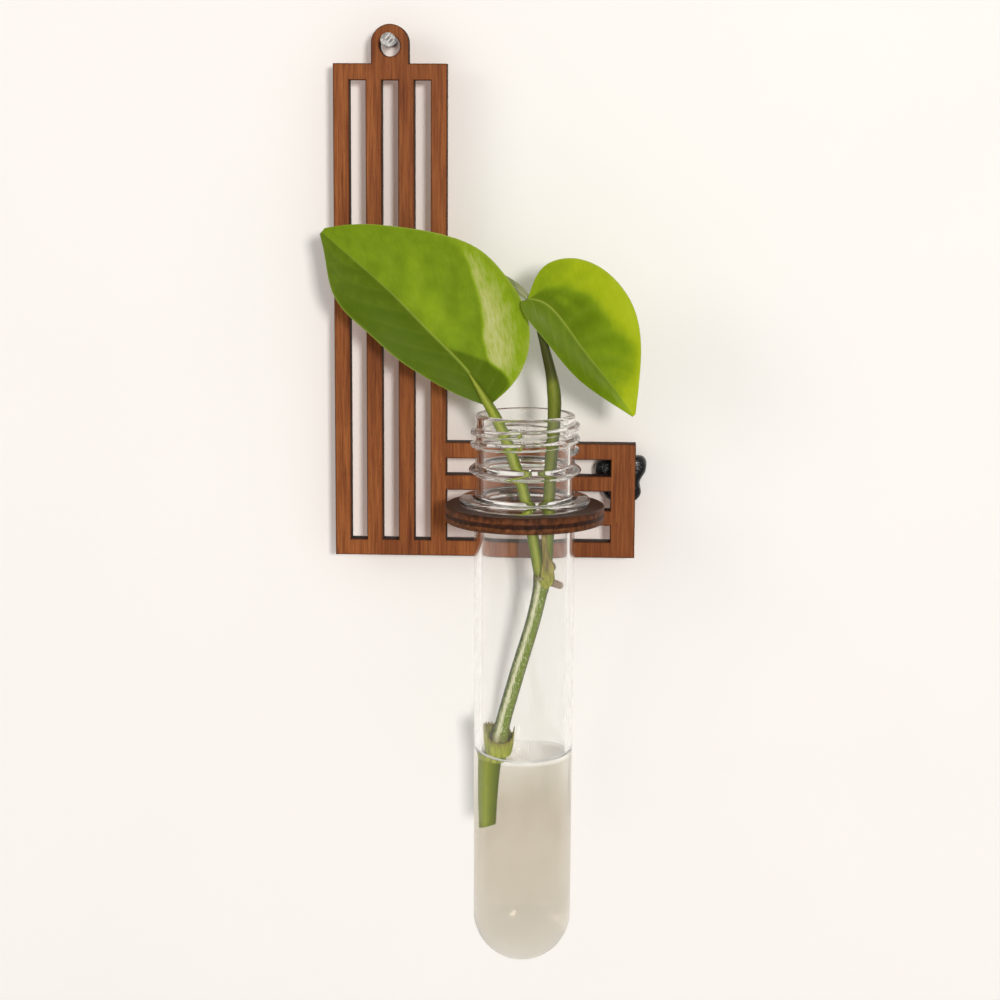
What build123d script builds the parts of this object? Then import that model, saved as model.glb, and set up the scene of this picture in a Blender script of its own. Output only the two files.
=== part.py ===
# Wall-hung propagation vase: a slotted plywood bracket on a nail, a plywood ring, a clear tube and a cutting.
# Frame: wall plane at Y = 0, the room on the -Y side, +Z up, origin on the nail's axis. Millimetres.
import os
from math import pi, radians, sin, tan

from build123d import *

os.makedirs("parts", exist_ok=True)

# Plywood bracket
SHEET = 4.1            # plywood thickness, bracket and ring
GAP = 6.0              # air between the wall and the bracket's back
STRIP = 4.14           # width of each bar and each slot of the upright arm
BODY_H = 126.5         # height without the hanging tab
BAR = 4.2              # wood along the outer edges, above and below the slots
RAIL = 4.0             # wood between the horizontal slots
SLOT = 4.3             # height of the top and bottom horizontal slots
SLOT_L = 42.6          # length of the horizontal slots
END_W = 6.4            # wood at the right end
TAB_R = 4.8            # round end of the hanging tab
TAB_H = 9.8
HOLE_R = 2.6           # hanging hole
HOLE_UP = 4.3          # hole centre above the arm's top edge
EDGE = 0.25            # sanded edge on the plywood faces

# Nail
SHANK_R = 1.05         # in the wall
SHOULDER = 0.2         # the shank outside the wall is thicker, and its shoulder stops at the wall
HEAD_R = 1.9
HEAD_T = 1.0
NAIL_OUT = 5.0         # head's front, in front of the bracket's face
NAIL_IN = 16.0         # straight shank in the wall
POINT_L = 4.0
HANG_PLAY = 0.05       # hole's top above the shank

# Ring
RING_R = 20.0
RING_PLAY = 0.45       # above and below the ring in the middle slot
RING_SHIFT = -0.4      # ring's axis from the slot's middle
BORE_PLAY = 0.4        # around the tube in the ring
TONGUE_W = 20.0
TONGUE_BACK = 2.0      # tongue's end behind the bracket's back

# Tube
TUBE_L = 142.6
FINISH_H = 23.0        # rim above the seat
NECK_R = 12.5
WALL = 1.6             # neck wall
BODY_R_TOP = 12.75
BODY_R_END = 12.5
WALL_BODY = 1.8        # body wall at the rounded end
WALL_TIP = 2.4
FLANGE_R = 16.5
FLANGE_T = 1.8
FLANGE_PLAY = 0.5      # flange to the bracket's face
SEAT_PLAY = 0.05       # flange above the ring
BEAD_R = 14.2
BEAD_DROP = 14.0       # bead below the rim
THREAD_R = 13.72
THREAD_DROP = 9.4      # lower end of the thread below the rim
PITCH = 3.18
TURNS = 2.1

# Cutting
STEM_R = 2.3
STALK_LEFT_R = 1.5
STALK_RIGHT_R = 1.6
ROOT_R = 0.95
ROOT_L = 4.6
BLADE_T = 0.5
UPPER_DROP = 41.0      # upper node below the rim
UPPER_OFF = 4.8        # upper node right of the tube's axis
NODE_DROP = 84.0       # lower node below the rim
NODE_OFF = 6.0         # lower node left of the tube's axis
STEM_OUT = 1.0         # stem in front of the tube's axis
STUB_L = 22.4          # slanted cut below the lower node
STUB_OFF = 7.0         # cut end left of the tube's axis
SHEATH_UP = 4.5        # sheath above and below its node
SHEATH_DOWN = 3.0
SHEATH_D = 3.2         # half depth of its mouth
SHEATH_T = 0.6
SHEATH_ROOM = 0.25     # around the stem at its mouth
SHEATH_PLAY = 0.35     # sheath to the tube's wall, which it leans on
LEFT_LEAN = 5.4        # blade's tip behind its base
LEFT_CUP = 2.2         # margins in front of the midrib
RIGHT_LEAN = -1.5
RIGHT_CUP = 1.8
SPRIG = 1.0            # one step of the drawn points of stalks, margins and midribs

ARM_W = 7 * STRIP
LEFT = -ARM_W / 2
SLOT_X = LEFT + ARM_W
RIGHT = SLOT_X + SLOT_L + END_W
MID_SLOT = SHEET + 2 * RING_PLAY
FOOT_H = 2 * BAR + 2 * RAIL + 2 * SLOT + MID_SLOT
HOLE_DROP = HOLE_R - SHANK_R - SHOULDER - HANG_PLAY
BODY_TOP = -HOLE_DROP - HOLE_UP
FOOT = BODY_TOP - BODY_H
BACK = -GAP
FRONT = BACK - SHEET
MID_Z = FOOT + BAR + SLOT + RAIL
TUBE_X = SLOT_X + SLOT_L / 2 + RING_SHIFT
TUBE_Y = FRONT - FLANGE_PLAY - FLANGE_R
RING_Z = MID_Z + RING_PLAY
SEAT = RING_Z + SHEET + SEAT_PLAY
RIM = SEAT + FINISH_H
TIP = RIM - TUBE_L
BORE_R = NECK_R - WALL
BORE_R_END = BODY_R_END - WALL_BODY
AXIS = Axis((TUBE_X, TUBE_Y, 0), (0, 0, 1))

# Bracket: an L of plywood, slotted along both arms, with a round-topped tab for the nail
with BuildPart() as wall_panel:
    with BuildSketch(Plane.XZ.offset(GAP)):
        with Locations((LEFT, FOOT)):
            Rectangle(ARM_W, BODY_H, align=(Align.MIN, Align.MIN))
            Rectangle(RIGHT - LEFT, FOOT_H, align=(Align.MIN, Align.MIN))
        with Locations((0, BODY_TOP - BAR / 2)):
            Rectangle(2 * TAB_R, BAR / 2 + TAB_H - TAB_R, align=(Align.CENTER, Align.MIN))
        with Locations((0, BODY_TOP + TAB_H - TAB_R)):
            Circle(TAB_R)
        with Locations((0, -HOLE_DROP)):
            Circle(HOLE_R, mode=Mode.SUBTRACT)
        with Locations(*[(LEFT + (2 * k + 1) * STRIP, FOOT + BAR) for k in range(3)]):
            Rectangle(STRIP, BODY_H - 2 * BAR, align=(Align.MIN, Align.MIN), mode=Mode.SUBTRACT)
        for low, high in ((FOOT + BAR, SLOT), (MID_Z, MID_SLOT), (MID_Z + MID_SLOT + RAIL, SLOT)):
            with Locations((SLOT_X, low)):
                Rectangle(SLOT_L, high, align=(Align.MIN, Align.MIN), mode=Mode.SUBTRACT)
    extrude(amount=SHEET)
    chamfer(wall_panel.faces().sort_by(Axis.Y)[0].edges(), EDGE)

# Nail: small flat head, round shank, point; the part in the wall starts at the wall plane
with BuildPart() as wall_nail:
    with BuildSketch(Plane.XY):
        with BuildLine():
            head, thick = FRONT - NAIL_OUT, SHANK_R + SHOULDER
            Polyline((0, head), (HEAD_R - 0.3, head), (HEAD_R, head + 0.3), (HEAD_R, head + HEAD_T),
                     (thick, head + HEAD_T + 0.3), (thick, 0), (SHANK_R, 0), (SHANK_R, NAIL_IN),
                     (0.15, NAIL_IN + POINT_L), (0, NAIL_IN + POINT_L), close=True)
        make_face()
    revolve(axis=Axis.Y)

# Lump of black putty pressed between the bracket's right end and the wall; points from the bracket's corner
LUMP = ((-10.5, 24.2), (-6.9, 25.6), (-2.5, 25.3), (0.7, 26.2), (3.1, 24.4), (2.7, 21.8), (1.5, 19.0), (1.7, 16.2),
        (0.1, 13.9), (-3.9, 13.6), (-7.7, 15.2), (-10.1, 19.2))
with BuildPart() as putty_lump:
    with BuildSketch(Plane.XZ):
        with BuildLine():
            Spline(*[(RIGHT + x, FOOT + z) for x, z in LUMP], periodic=True)
        make_face()
    extrude(amount=GAP)
    fillet(putty_lump.edges().filter_by(Plane.XZ), min(1.0, GAP / 4))

# Ring: plywood washer that carries the tube, with a tongue through the middle slot
with BuildPart() as holder_ring:
    with BuildSketch(Plane.XY.offset(RING_Z)):
        with Locations((TUBE_X, TUBE_Y)):
            Circle(RING_R)
            Rectangle(TONGUE_W, BACK + TONGUE_BACK - TUBE_Y, align=(Align.CENTER, Align.MIN))
            Circle(BODY_R_TOP + BORE_PLAY, mode=Mode.SUBTRACT)
    extrude(amount=SHEET)
    chamfer(holder_ring.faces().filter_by(Axis.Z).edges(), EDGE)

# Tube: clear moulding with a screw neck, bead, support flange and rounded end
with BuildPart() as test_tube:
    with BuildSketch(Plane((TUBE_X, TUBE_Y, 0), x_dir=(1, 0, 0), z_dir=(0, -1, 0))):
        with BuildLine():
            bead, top = RIM - BEAD_DROP, SEAT + FLANGE_T
            Polyline((BORE_R + 0.3, RIM), (NECK_R - 0.5, RIM), (NECK_R, RIM - 0.5), (NECK_R, bead + 1.4),
                     (BEAD_R - 0.3, bead + 0.4), (BEAD_R, bead), (BEAD_R - 0.2, bead - 0.6), (NECK_R, bead - 1.4),
                     (NECK_R, top + 0.8), (NECK_R + 0.8, top), (FLANGE_R - 0.4, top), (FLANGE_R, top - 0.5),
                     (FLANGE_R, SEAT + 0.4), (FLANGE_R - 0.4, SEAT), (BODY_R_TOP, SEAT),
                     (BODY_R_END, TIP + BODY_R_END))
            CenterArc((0, TIP + BODY_R_END), BODY_R_END, 0, -90)
            Line((0, TIP), (0, TIP + WALL_TIP))
            CenterArc((0, TIP + WALL_TIP + BORE_R_END), BORE_R_END, 270, 90)
            Polyline((BORE_R_END, TIP + WALL_TIP + BORE_R_END), (BORE_R, SEAT), (BORE_R, RIM - 0.3),
                     (BORE_R + 0.3, RIM))
        make_face()
    revolve(axis=AXIS)
    with BuildLine() as turns:
        Helix(pitch=PITCH, height=PITCH * TURNS, radius=NECK_R, center=(TUBE_X, TUBE_Y, RIM - THREAD_DROP))
    with BuildSketch(Plane(turns.line @ 0, x_dir=(1, 0, 0), z_dir=turns.line % 0)):
        Polygon((-0.4, -1.0), (THREAD_R - NECK_R, -0.35), (THREAD_R - NECK_R, 0.35), (-0.4, 1.0), align=None)
    sweep(path=turns.line, is_frenet=True)


def bend(*points):
    """Straight runs joined by tangent arcs, through points given from the middle of the tube's rim."""
    spots = [Vector(TUBE_X + x, TUBE_Y + y, RIM + z) for x, y, z in points]
    runs = [b - a for a, b in zip(spots, spots[1:])]
    radii = [0.45 * min(a.length, b.length) / tan(radians(a.get_angle(b)) / 2) for a, b in zip(runs, runs[1:])]
    return FilletPolyline(*spots, radius=radii)


def drawn(*points):
    """Drawn points, in steps from the middle of the tube's rim, as lengths."""
    return [tuple(SPRIG * c for c in point) for point in points]


# The stem's run: shares of the way from the upper node to the lower one, then straight down to past the cut
SHARES = ((0, 0, 0), (0.222, 0.04, 0.265), (0.491, 0, 0.502), (0.759, 0.04, 0.744), (1, 0, 1))
STEM_RUN = [(UPPER_OFF - across * (UPPER_OFF + NODE_OFF), -STEM_OUT - wave * STEM_R,
             -UPPER_DROP - down * (NODE_DROP - UPPER_DROP)) for across, wave, down in SHARES]
STEM_LEAN = (STEM_RUN[3][0] - STEM_RUN[4][0]) / (STEM_RUN[3][2] - STEM_RUN[4][2])
STEM_RUN += [(-0.986 * STUB_OFF, -STEM_OUT - 0.04 * STEM_R, -NODE_DROP - 0.49 * STUB_L),
             (-STUB_OFF, -STEM_OUT, -NODE_DROP - STUB_L - STEM_R)]
NODE = Plane((TUBE_X, TUBE_Y, RIM - NODE_DROP))
CUT = Plane((TUBE_X - STUB_OFF, TUBE_Y - STEM_OUT, RIM - NODE_DROP - STUB_L), z_dir=(-0.45, 0.2, 1))

# Cutting: the stem between its two nodes
with BuildPart() as stem_upper:
    with BuildLine() as run:
        bend(*STEM_RUN)
    with BuildSketch(Plane(run.line @ 0, z_dir=run.line % 0)):
        Circle(STEM_R)
    sweep(path=run.line)
    split(bisect_by=NODE, keep=Keep.TOP)

# Cutting: the stub below the lower node, cut on a slant
with BuildPart() as stem_lower:
    with BuildLine() as run:
        bend(*STEM_RUN)
    with BuildSketch(Plane(run.line @ 0, z_dir=run.line % 0)):
        Circle(STEM_R)
    sweep(path=run.line)
    split(bisect_by=NODE, keep=Keep.BOTTOM)
    split(bisect_by=CUT, keep=Keep.TOP)

# Cutting: torn dry sheath around the lower node, leaning on the tube's wall
with BuildPart() as node_sheath:
    wall_side = SHEATH_PLAY - BORE_R_END
    stem_side = -NODE_OFF + STEM_LEAN * SHEATH_UP + 1.1 * STEM_R + SHEATH_ROOM + SHEATH_T
    wide = (stem_side - wall_side) / 2
    foot = Plane((TUBE_X - NODE_OFF, TUBE_Y - STEM_OUT, RIM - NODE_DROP - SHEATH_DOWN))
    mouth = Plane((TUBE_X + wall_side + wide, TUBE_Y - STEM_OUT, RIM - NODE_DROP + SHEATH_UP))
    with BuildSketch(foot) as low:
        Circle(STEM_R + SHEATH_T)
    with BuildSketch(mouth) as high:
        Ellipse(wide, SHEATH_D)
    loft([low.sketch, high.sketch])
    with BuildSketch(foot) as low_in:
        Circle(STEM_R - SHEATH_T / 2)
    with BuildSketch(mouth) as high_in:
        Ellipse(wide - SHEATH_T, SHEATH_D - SHEATH_T)
    loft([low_in.sketch, high_in.sketch], mode=Mode.SUBTRACT)
    add(stem_upper.part, mode=Mode.SUBTRACT)
    add(stem_lower.part, mode=Mode.SUBTRACT)

# Cutting: leaf stalks, each from the upper node to its blade
LEFT_BASE = (-9.2, -0.4, 2.2)
RIGHT_BASE = (0.4, -1.4, 28.8)
JOIN = -UPPER_DROP - STEM_R / 2
with BuildPart() as petiole_right:
    with BuildLine() as run:
        bend((UPPER_OFF + 0.3, -STEM_OUT, JOIN),
             *drawn((5.9, -1.1, -29.5), (6.3, -1.2, -15.0), (7.0, -1.4, -4.0), (7.2, -1.5, 4.5), (5.0, -1.6, 15.8),
                    RIGHT_BASE))
    with BuildSketch(Plane(run.line @ 0, z_dir=run.line % 0)):
        Circle(STALK_RIGHT_R)
    sweep(path=run.line)
    add(stem_upper.part, mode=Mode.SUBTRACT)

with BuildPart() as petiole_left:
    with BuildLine() as run:
        bend((UPPER_OFF - 0.6, -STEM_OUT, JOIN),
             *drawn((2.1, -0.6, -31.0), (-0.8, -0.2, -18.2), (-3.4, -0.1, -10.4), (-6.6, -0.2, -2.6), LEFT_BASE))
    with BuildSketch(Plane(run.line @ 0, z_dir=run.line % 0)):
        Circle(STALK_LEFT_R)
    sweep(path=run.line)
    add(stem_upper.part, mode=Mode.SUBTRACT)
    add(petiole_right.part, mode=Mode.SUBTRACT)

# Cutting: aerial root at the upper node
with BuildPart() as aerial_root:
    side = TUBE_X + UPPER_OFF + STEM_R / 3
    with BuildSketch(Plane((side, TUBE_Y - STEM_OUT, RIM + JOIN), z_dir=(0.92, -0.1, -0.32))):
        Circle(ROOT_R)
    extrude(amount=ROOT_L)
    fillet(aerial_root.faces().sort_by(Axis.X)[-1].edges(), ROOT_R / 2)
    add(stem_upper.part, mode=Mode.SUBTRACT)
    add(petiole_right.part, mode=Mode.SUBTRACT)


def margin(*points):
    """A smooth line in the leaf's own upright plane, through points given from the middle of the tube's rim."""
    return Spline(*[(TUBE_X + x, 0, RIM + z) for x, z in drawn(*points)])


def blade(upper, rib, lower, base_y, lean, cup, rows=15, cols=9):
    """Leaf surface: straight from midrib to margin, leaning from base to tip, with the margins cupped forward."""
    grid = []
    for i in range(rows):
        u = 0.02 + 0.965 * i / (rows - 1)
        mid, top, low = rib @ u, upper @ u, lower @ u
        row = []
        for j in range(cols):
            v = 2 * j / (cols - 1) - 1
            spot = mid + ((top if v > 0 else low) - mid) * abs(v)
            y = TUBE_Y + SPRIG * base_y + lean * u - cup * v * v * sin(pi * u)
            row.append(Vector(spot.X, y, spot.Z))
        grid.append(row)
    return Face.make_surface_from_array_of_points(grid)


# Cutting: the two leaf blades, drawn by their margins and midribs
with BuildPart() as leaf_left:
    over = margin((-9.2, 1.8), (-3.6, 6.9), (0.0, 13.3), (0.9, 21.0), (-0.7, 27.4), (-5.1, 34.3), (-11.5, 40.6),
                  (-19.3, 43.9), (-32.2, 46.1), (-44.0, 46.5), (-52.3, 45.2))
    rib = margin((-9.4, 2.0), (-13.6, 9.3), (-20.6, 16.7), (-28.1, 24.0), (-33.3, 29.1), (-42.4, 37.0), (-52.3, 45.2))
    under = margin((-9.4, 1.7), (-18.4, 5.2), (-26.2, 9.5), (-33.0, 14.0), (-39.8, 20.0), (-45.2, 24.8),
                   (-48.4, 29.4), (-49.9, 34.6), (-50.9, 40.0), (-52.3, 45.2))
    extrude(blade(over, rib, under, LEFT_BASE[1], LEFT_LEAN, LEFT_CUP), amount=BLADE_T, dir=(0, 1, 0))
    add(petiole_left.part, mode=Mode.SUBTRACT)

with BuildPart() as leaf_right:
    over = margin((0.4, 28.8), (1.4, 31.9), (4.2, 36.8), (10.3, 39.1), (16.6, 37.8), (23.0, 32.8), (26.8, 26.5),
                  (28.4, 19.0), (28.2, 8.8), (27.3, -0.6))
    rib = margin((0.4, 28.8), (4.0, 28.2), (8.4, 24.5), (13.7, 17.3), (20.6, 8.7), (27.3, -0.6))
    under = margin((0.4, 28.6), (1.2, 26.0), (4.1, 20.0), (7.9, 14.9), (13.4, 9.0), (20.7, 3.7), (27.3, -0.6))
    extrude(blade(over, rib, under, RIGHT_BASE[1], RIGHT_LEAN, RIGHT_CUP), amount=BLADE_T, dir=(0, 1, 0))
    add(petiole_right.part, mode=Mode.SUBTRACT)

wall_panel.part.label = "wall_panel"
wall_nail.part.label = "wall_nail"
putty_lump.part.label = "putty_lump"
holder_ring.part.label = "holder_ring"
test_tube.part.label = "test_tube"
stem_upper.part.label = "stem_upper"
stem_lower.part.label = "stem_lower"
node_sheath.part.label = "node_sheath"
aerial_root.part.label = "aerial_root"
petiole_left.part.label = "petiole_left"
petiole_right.part.label = "petiole_right"
leaf_left.part.label = "leaf_left"
leaf_right.part.label = "leaf_right"

export_step(wall_panel.part, "parts/wall_panel.step")
export_step(wall_nail.part, "parts/wall_nail.step")
export_step(putty_lump.part, "parts/putty_lump.step")
export_step(holder_ring.part, "parts/holder_ring.step")
export_step(test_tube.part, "parts/test_tube.step")
export_step(stem_upper.part, "parts/stem_upper.step")
export_step(stem_lower.part, "parts/stem_lower.step")
export_step(node_sheath.part, "parts/node_sheath.step")
export_step(aerial_root.part, "parts/aerial_root.step")
export_step(petiole_left.part, "parts/petiole_left.step")
export_step(petiole_right.part, "parts/petiole_right.step")
export_step(leaf_left.part, "parts/leaf_left.step")
export_step(leaf_right.part, "parts/leaf_right.step")
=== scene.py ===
# %% [markdown]
# A propagation vase for a wall: a slotted plywood bracket on a nail, a plywood ring, a clear tube with some
# water, and one cutting that grows roots in it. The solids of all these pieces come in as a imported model.
# The wall is the plane Y = 0, the room is on the -Y side and Z points up. Rigid plywood and steel pieces
# keep their solids and only get a finish. Clear, wet, soft and living pieces are drawn again as surfaces,
# in the same places.

import bpy
import numpy as np
from mathutils import Matrix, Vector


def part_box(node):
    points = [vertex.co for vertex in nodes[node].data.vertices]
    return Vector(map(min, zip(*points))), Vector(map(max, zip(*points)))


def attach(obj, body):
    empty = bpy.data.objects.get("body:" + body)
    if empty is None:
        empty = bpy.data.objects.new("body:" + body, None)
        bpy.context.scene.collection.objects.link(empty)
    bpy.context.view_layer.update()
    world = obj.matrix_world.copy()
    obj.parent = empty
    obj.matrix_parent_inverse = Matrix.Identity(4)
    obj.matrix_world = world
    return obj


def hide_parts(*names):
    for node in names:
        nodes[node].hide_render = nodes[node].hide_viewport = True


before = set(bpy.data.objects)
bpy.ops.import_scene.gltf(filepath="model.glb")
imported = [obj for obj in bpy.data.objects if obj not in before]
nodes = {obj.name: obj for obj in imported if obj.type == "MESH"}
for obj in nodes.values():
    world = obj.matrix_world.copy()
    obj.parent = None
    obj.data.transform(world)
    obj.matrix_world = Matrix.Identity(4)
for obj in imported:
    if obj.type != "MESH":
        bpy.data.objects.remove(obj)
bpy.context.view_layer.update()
print("solids:", sorted(nodes))

# %% [markdown]
# Lengths are written in millimetres, as on a drawing, and turned into metres when a mesh is made. The
# places of the bracket, the ring and the tube are read from their solids, so the drawn surfaces meet them.

# %% Places read from the solids
MM = 0.001


def box_mm(name):
    """Lowest and highest corner of a solid, in millimetres."""
    low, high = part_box(name)
    return np.array(low) / MM, np.array(high) / MM


panel_low, panel_high = box_mm("wall_panel")
ring_low, ring_high = box_mm("holder_ring")
tube_low, tube_high = box_mm("test_tube")
RIGHT, FOOT, FRONT, BACK = panel_high[0], panel_low[2], panel_low[1], panel_high[1]
TUBE_X, TUBE_Y = (tube_low[:2] + tube_high[:2]) / 2
RIM, TIP = tube_high[2], tube_low[2]
RIM_MID = np.array([TUBE_X, TUBE_Y, RIM])
print("tube axis at", round(TUBE_X, 2), round(TUBE_Y, 2), "rim at", round(RIM, 2), "tip at", round(TIP, 2))

# %% [markdown]
# Every drawn piece is a grid of points: one parameter runs along the piece, the other goes round it, so the
# columns close on themselves and a fan of triangles closes each end. The faces are one array of indices.
# The signed volume of the closed surface tells whether the faces point outwards, and they are turned round
# if they don't.

# %% Helpers for meshes


def grid_faces(rows, cols, fans=True):
    """Quads between neighbouring rows of a grid with closed columns, and a fan of triangles at each end."""
    here = np.arange(cols)
    after = (here + 1) % cols
    start = cols * np.arange(rows - 1)[:, None]
    corners = [start + here, start + after, start + cols + after, start + cols + here]
    quads = np.stack(corners, -1).reshape(-1, 4)
    end = (rows - 1) * cols
    if not fans:
        wrap = np.stack([end + here, end + after, after, here], -1)
        return np.concatenate([quads, wrap]).tolist()
    first = np.stack([np.full(cols, rows * cols), after, here], -1)
    last = np.stack([np.full(cols, rows * cols + 1), end + here, end + after], -1)
    return quads.tolist() + first.tolist() + last.tolist()


def with_ends(grid):
    """The grid's points in one list, followed by the middle of its first row and of its last row."""
    flat = grid.reshape(-1, grid.shape[-1])
    return np.concatenate([flat, grid[0].mean(0, keepdims=True), grid[-1].mean(0, keepdims=True)])


def signed_volume(spots, faces):
    """Sum over each face's fan of triangles of a . (b x c) / 6: positive when the faces point outwards."""
    corners = np.array([face[:3] + face[-1:] for face in faces])
    a, b, c, d = (spots[corners[:, k]] for k in range(4))
    return float(np.sum(a * np.cross(b, c) + a * np.cross(c, d))) / 6


def make_piece(name, grid, finish, body, stands_for=(), marks=None, fans=True):
    """Makes a smooth mesh from a grid of points in mm, ties it to its body and hides the solids it stands
    for.
    Marks are grids of numbers that become point attributes. Without fans, the last row joins the first one."""
    faces = grid_faces(*grid.shape[:2], fans)
    spots = with_ends(grid) if fans else grid.reshape(-1, 3)
    if signed_volume(spots - spots.mean(0), faces) < 0:
        faces = [face[::-1] for face in faces]
    mesh = bpy.data.meshes.new(name)
    mesh.from_pydata((spots * MM).tolist(), [], faces)
    mesh.polygons.foreach_set("use_smooth", np.ones(len(faces), bool))
    for mark, share in (marks or {}).items():
        share = np.broadcast_to(share, grid.shape[:2])[..., None]
        values = (with_ends(share) if fans else share).ravel().astype(np.float32)
        mesh.attributes.new(mark, "FLOAT", "POINT").data.foreach_set("value", values)
    mesh.materials.append(finish)
    mesh.validate()
    piece = bpy.data.objects.new(name, mesh)
    bpy.context.scene.collection.objects.link(piece)
    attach(piece, body)
    if stands_for:
        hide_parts(*stands_for)
    print(name, len(mesh.vertices), "points", len(mesh.polygons), "faces")
    return piece


def way_along(p):
    """Distance from the start of a polyline to each of its points: the running sum of its chords."""
    return np.concatenate([[0], np.cumsum(np.linalg.norm(np.diff(p, axis=0), axis=1))])


def smooth_line(points, shares):
    """Natural cubic spline through the points, spaced by chord length, at shares from 0 to 1 of its way."""
    p = np.asarray(points, float)
    way = way_along(p)
    way /= way[-1]
    gap = np.diff(way)
    slope = np.diff(p, axis=0) / gap[:, None]
    inner = np.arange(1, len(p) - 1)
    system = np.eye(len(p))
    system[inner, inner - 1] = gap[:-1]
    system[inner, inner] = 2 * (gap[:-1] + gap[1:])
    system[inner, inner + 1] = gap[1:]
    right = np.zeros_like(p)
    right[1:-1] = 6 * np.diff(slope, axis=0)
    bend = np.linalg.solve(system, right)
    k = np.clip(np.searchsorted(way, shares, side="right") - 1, 0, len(p) - 2)
    w = (shares - way[k])[:, None]
    g = gap[k][:, None]
    curve = w ** 2 * bend[k] / 2 + w ** 3 * (bend[k + 1] - bend[k]) / (6 * g)
    return p[k] + w * (slope[k] - g * (2 * bend[k] + bend[k + 1]) / 6) + curve


print("a closed grid of 3 by 4 points has", len(grid_faces(3, 4)), "faces")

# %% [markdown]
# Colours are written as they look on a screen, in sRGB hex, and a shader wants them linear. One function
# adds any kind of node, with its settings, its constant inputs, its links and, for a colour ramp, its
# stops. Noise mostly stays between 0.3 and 0.7.

# %% Helpers for finishes


def colour(code):
    """Linear RGBA of an sRGB hex code: c / 12.92 in the darks, else ((c + 0.055) / 1.055) ^ 2.4."""
    c = np.array([int(code[k:k + 2], 16) for k in (1, 3, 5)]) / 255
    linear = np.where(c <= 0.04045, c / 12.92, ((c + 0.055) / 1.055) ** 2.4)
    return (*linear.tolist(), 1.0)


def wire(tree, node, links):
    """Links sources to a node's inputs. A source is an output, or a node, which means its first output."""
    for socket, source in links.items():
        output = source.outputs[0] if isinstance(source, bpy.types.Node) else source
        tree.links.new(output, node.inputs[socket])


def add(tree, kind, values=None, links=None, stops=None, **settings):
    """Adds one node: settings are properties, values are constants, links are sources, stops are a ramp."""
    made = tree.nodes.new("ShaderNode" + kind)
    for name, value in settings.items():
        setattr(made, name, value)
    for socket, value in (values or {}).items():
        made.inputs[socket].default_value = value
    wire(tree, made, links or {})
    for k, (place, code) in enumerate(stops or ()):
        stop = made.color_ramp.elements[k] if k < 2 else made.color_ramp.elements.new(place)
        stop.position = place
        stop.color = colour(code)
    return made


def new_finish(name, **values):
    """A material with one Principled shader, with constant values on the shader's own sockets."""
    made = bpy.data.materials.new(name)
    made.use_nodes = True
    shader = made.node_tree.nodes["Principled BSDF"]
    for socket, value in values.items():
        shader.inputs[socket.replace("_", " ")].default_value = value
    return made, made.node_tree, shader


def dress(name, finish):
    """Gives a solid its finish."""
    solid = nodes[name].data
    solid.materials.clear()
    solid.materials.append(finish)
    print(name, "is", finish.name)


def per_mm(*sizes):
    """Mapping scale that makes one unit of a pattern these sizes in millimetres, along X, Y and Z."""
    return tuple(1 / (size * MM) for size in sizes)


NOISE_SPAN = {"From Min": 0.3, "From Max": 0.7}
print("helpers for finishes are ready, noise spans", list(NOISE_SPAN.values()))

# %% [markdown]
# The bracket is thin stained plywood, cut by a laser. Its faces show fine upright grain with short dark
# pores, and the cut walls are burnt nearly black and matt. Grain can be painted or photographed, but noise
# that is stretched along Z looks the same and needs no picture. The burnt walls are found by depth: they
# lie between the two faces of the sheet. Smoke from the cut has also darkened a narrow rim of each face: it
# is where a slightly rounded normal would turn away.

# %% Stained plywood of the bracket
GRAIN = (0.45, 0.45, 13.0)
PORE = (0.16, 0.16, 2.6)
BOARD = (6.0, 6.0, 60.0)
BURNT, SMOKED, FACE_SKIN = 0.24, 0.4, 0.01
sheet_middle, sheet_half = (FRONT + BACK) / 2, (BACK - FRONT) / 2

panel_wood, tree, shader = new_finish("stained laser-cut plywood", Specular_IOR_Level=0.18)
place = add(tree, "TexCoord").outputs["Object"]
grain_map = add(tree, "Mapping", {"Scale": per_mm(*GRAIN)}, {"Vector": place})
grain = add(tree, "TexNoise", {"Scale": 1.0, "Detail": 5.0, "Roughness": 0.6, "Distortion": 0.25},
            {"Vector": grain_map})
board_map = add(tree, "Mapping", {"Scale": per_mm(*BOARD)}, {"Vector": place})
board = add(tree, "TexNoise", {"Scale": 1.0, "Detail": 3.0}, {"Vector": board_map})
pore_map = add(tree, "Mapping", {"Scale": per_mm(*PORE)}, {"Vector": place})
pore = add(tree, "TexNoise", {"Scale": 1.0, "Detail": 1.0}, {"Vector": pore_map})
stain = add(tree, "ValToRGB", links={"Fac": grain},
            stops=((0.28, "#733A17"), (0.74, "#B56F38"), (0.50, "#97562A")))
tone = add(tree, "ValToRGB", links={"Fac": board}, stops=((0.32, "#C4B0A2"), (0.66, "#FFFFFF")))
toned = add(tree, "MixRGB", {"Fac": 0.75}, {"Color1": stain, "Color2": tone}, blend_type="MULTIPLY")
ticks = add(tree, "ValToRGB", links={"Fac": pore}, stops=((0.62, "#000000"), (0.76, "#C8C8C8")))
pored = add(tree, "MixRGB", {"Color2": colour("#4E2812")}, {"Fac": ticks, "Color1": toned})
depth = add(tree, "SeparateXYZ", links={"Vector": place})
inward = add(tree, "Math", {1: sheet_middle * MM}, {0: depth.outputs["Y"]}, operation="SUBTRACT")
away = add(tree, "Math", links={0: inward}, operation="ABSOLUTE")
face = add(tree, "MapRange", {"From Min": (sheet_half - BURNT) * MM,
                              "From Max": (sheet_half - FACE_SKIN) * MM}, {"Value": away})
char = add(tree, "ValToRGB", links={"Fac": grain}, stops=((0.35, "#160A05"), (0.65, "#3A1C0E")))
cut = add(tree, "MixRGB", links={"Fac": face, "Color1": char, "Color2": pored})
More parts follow.
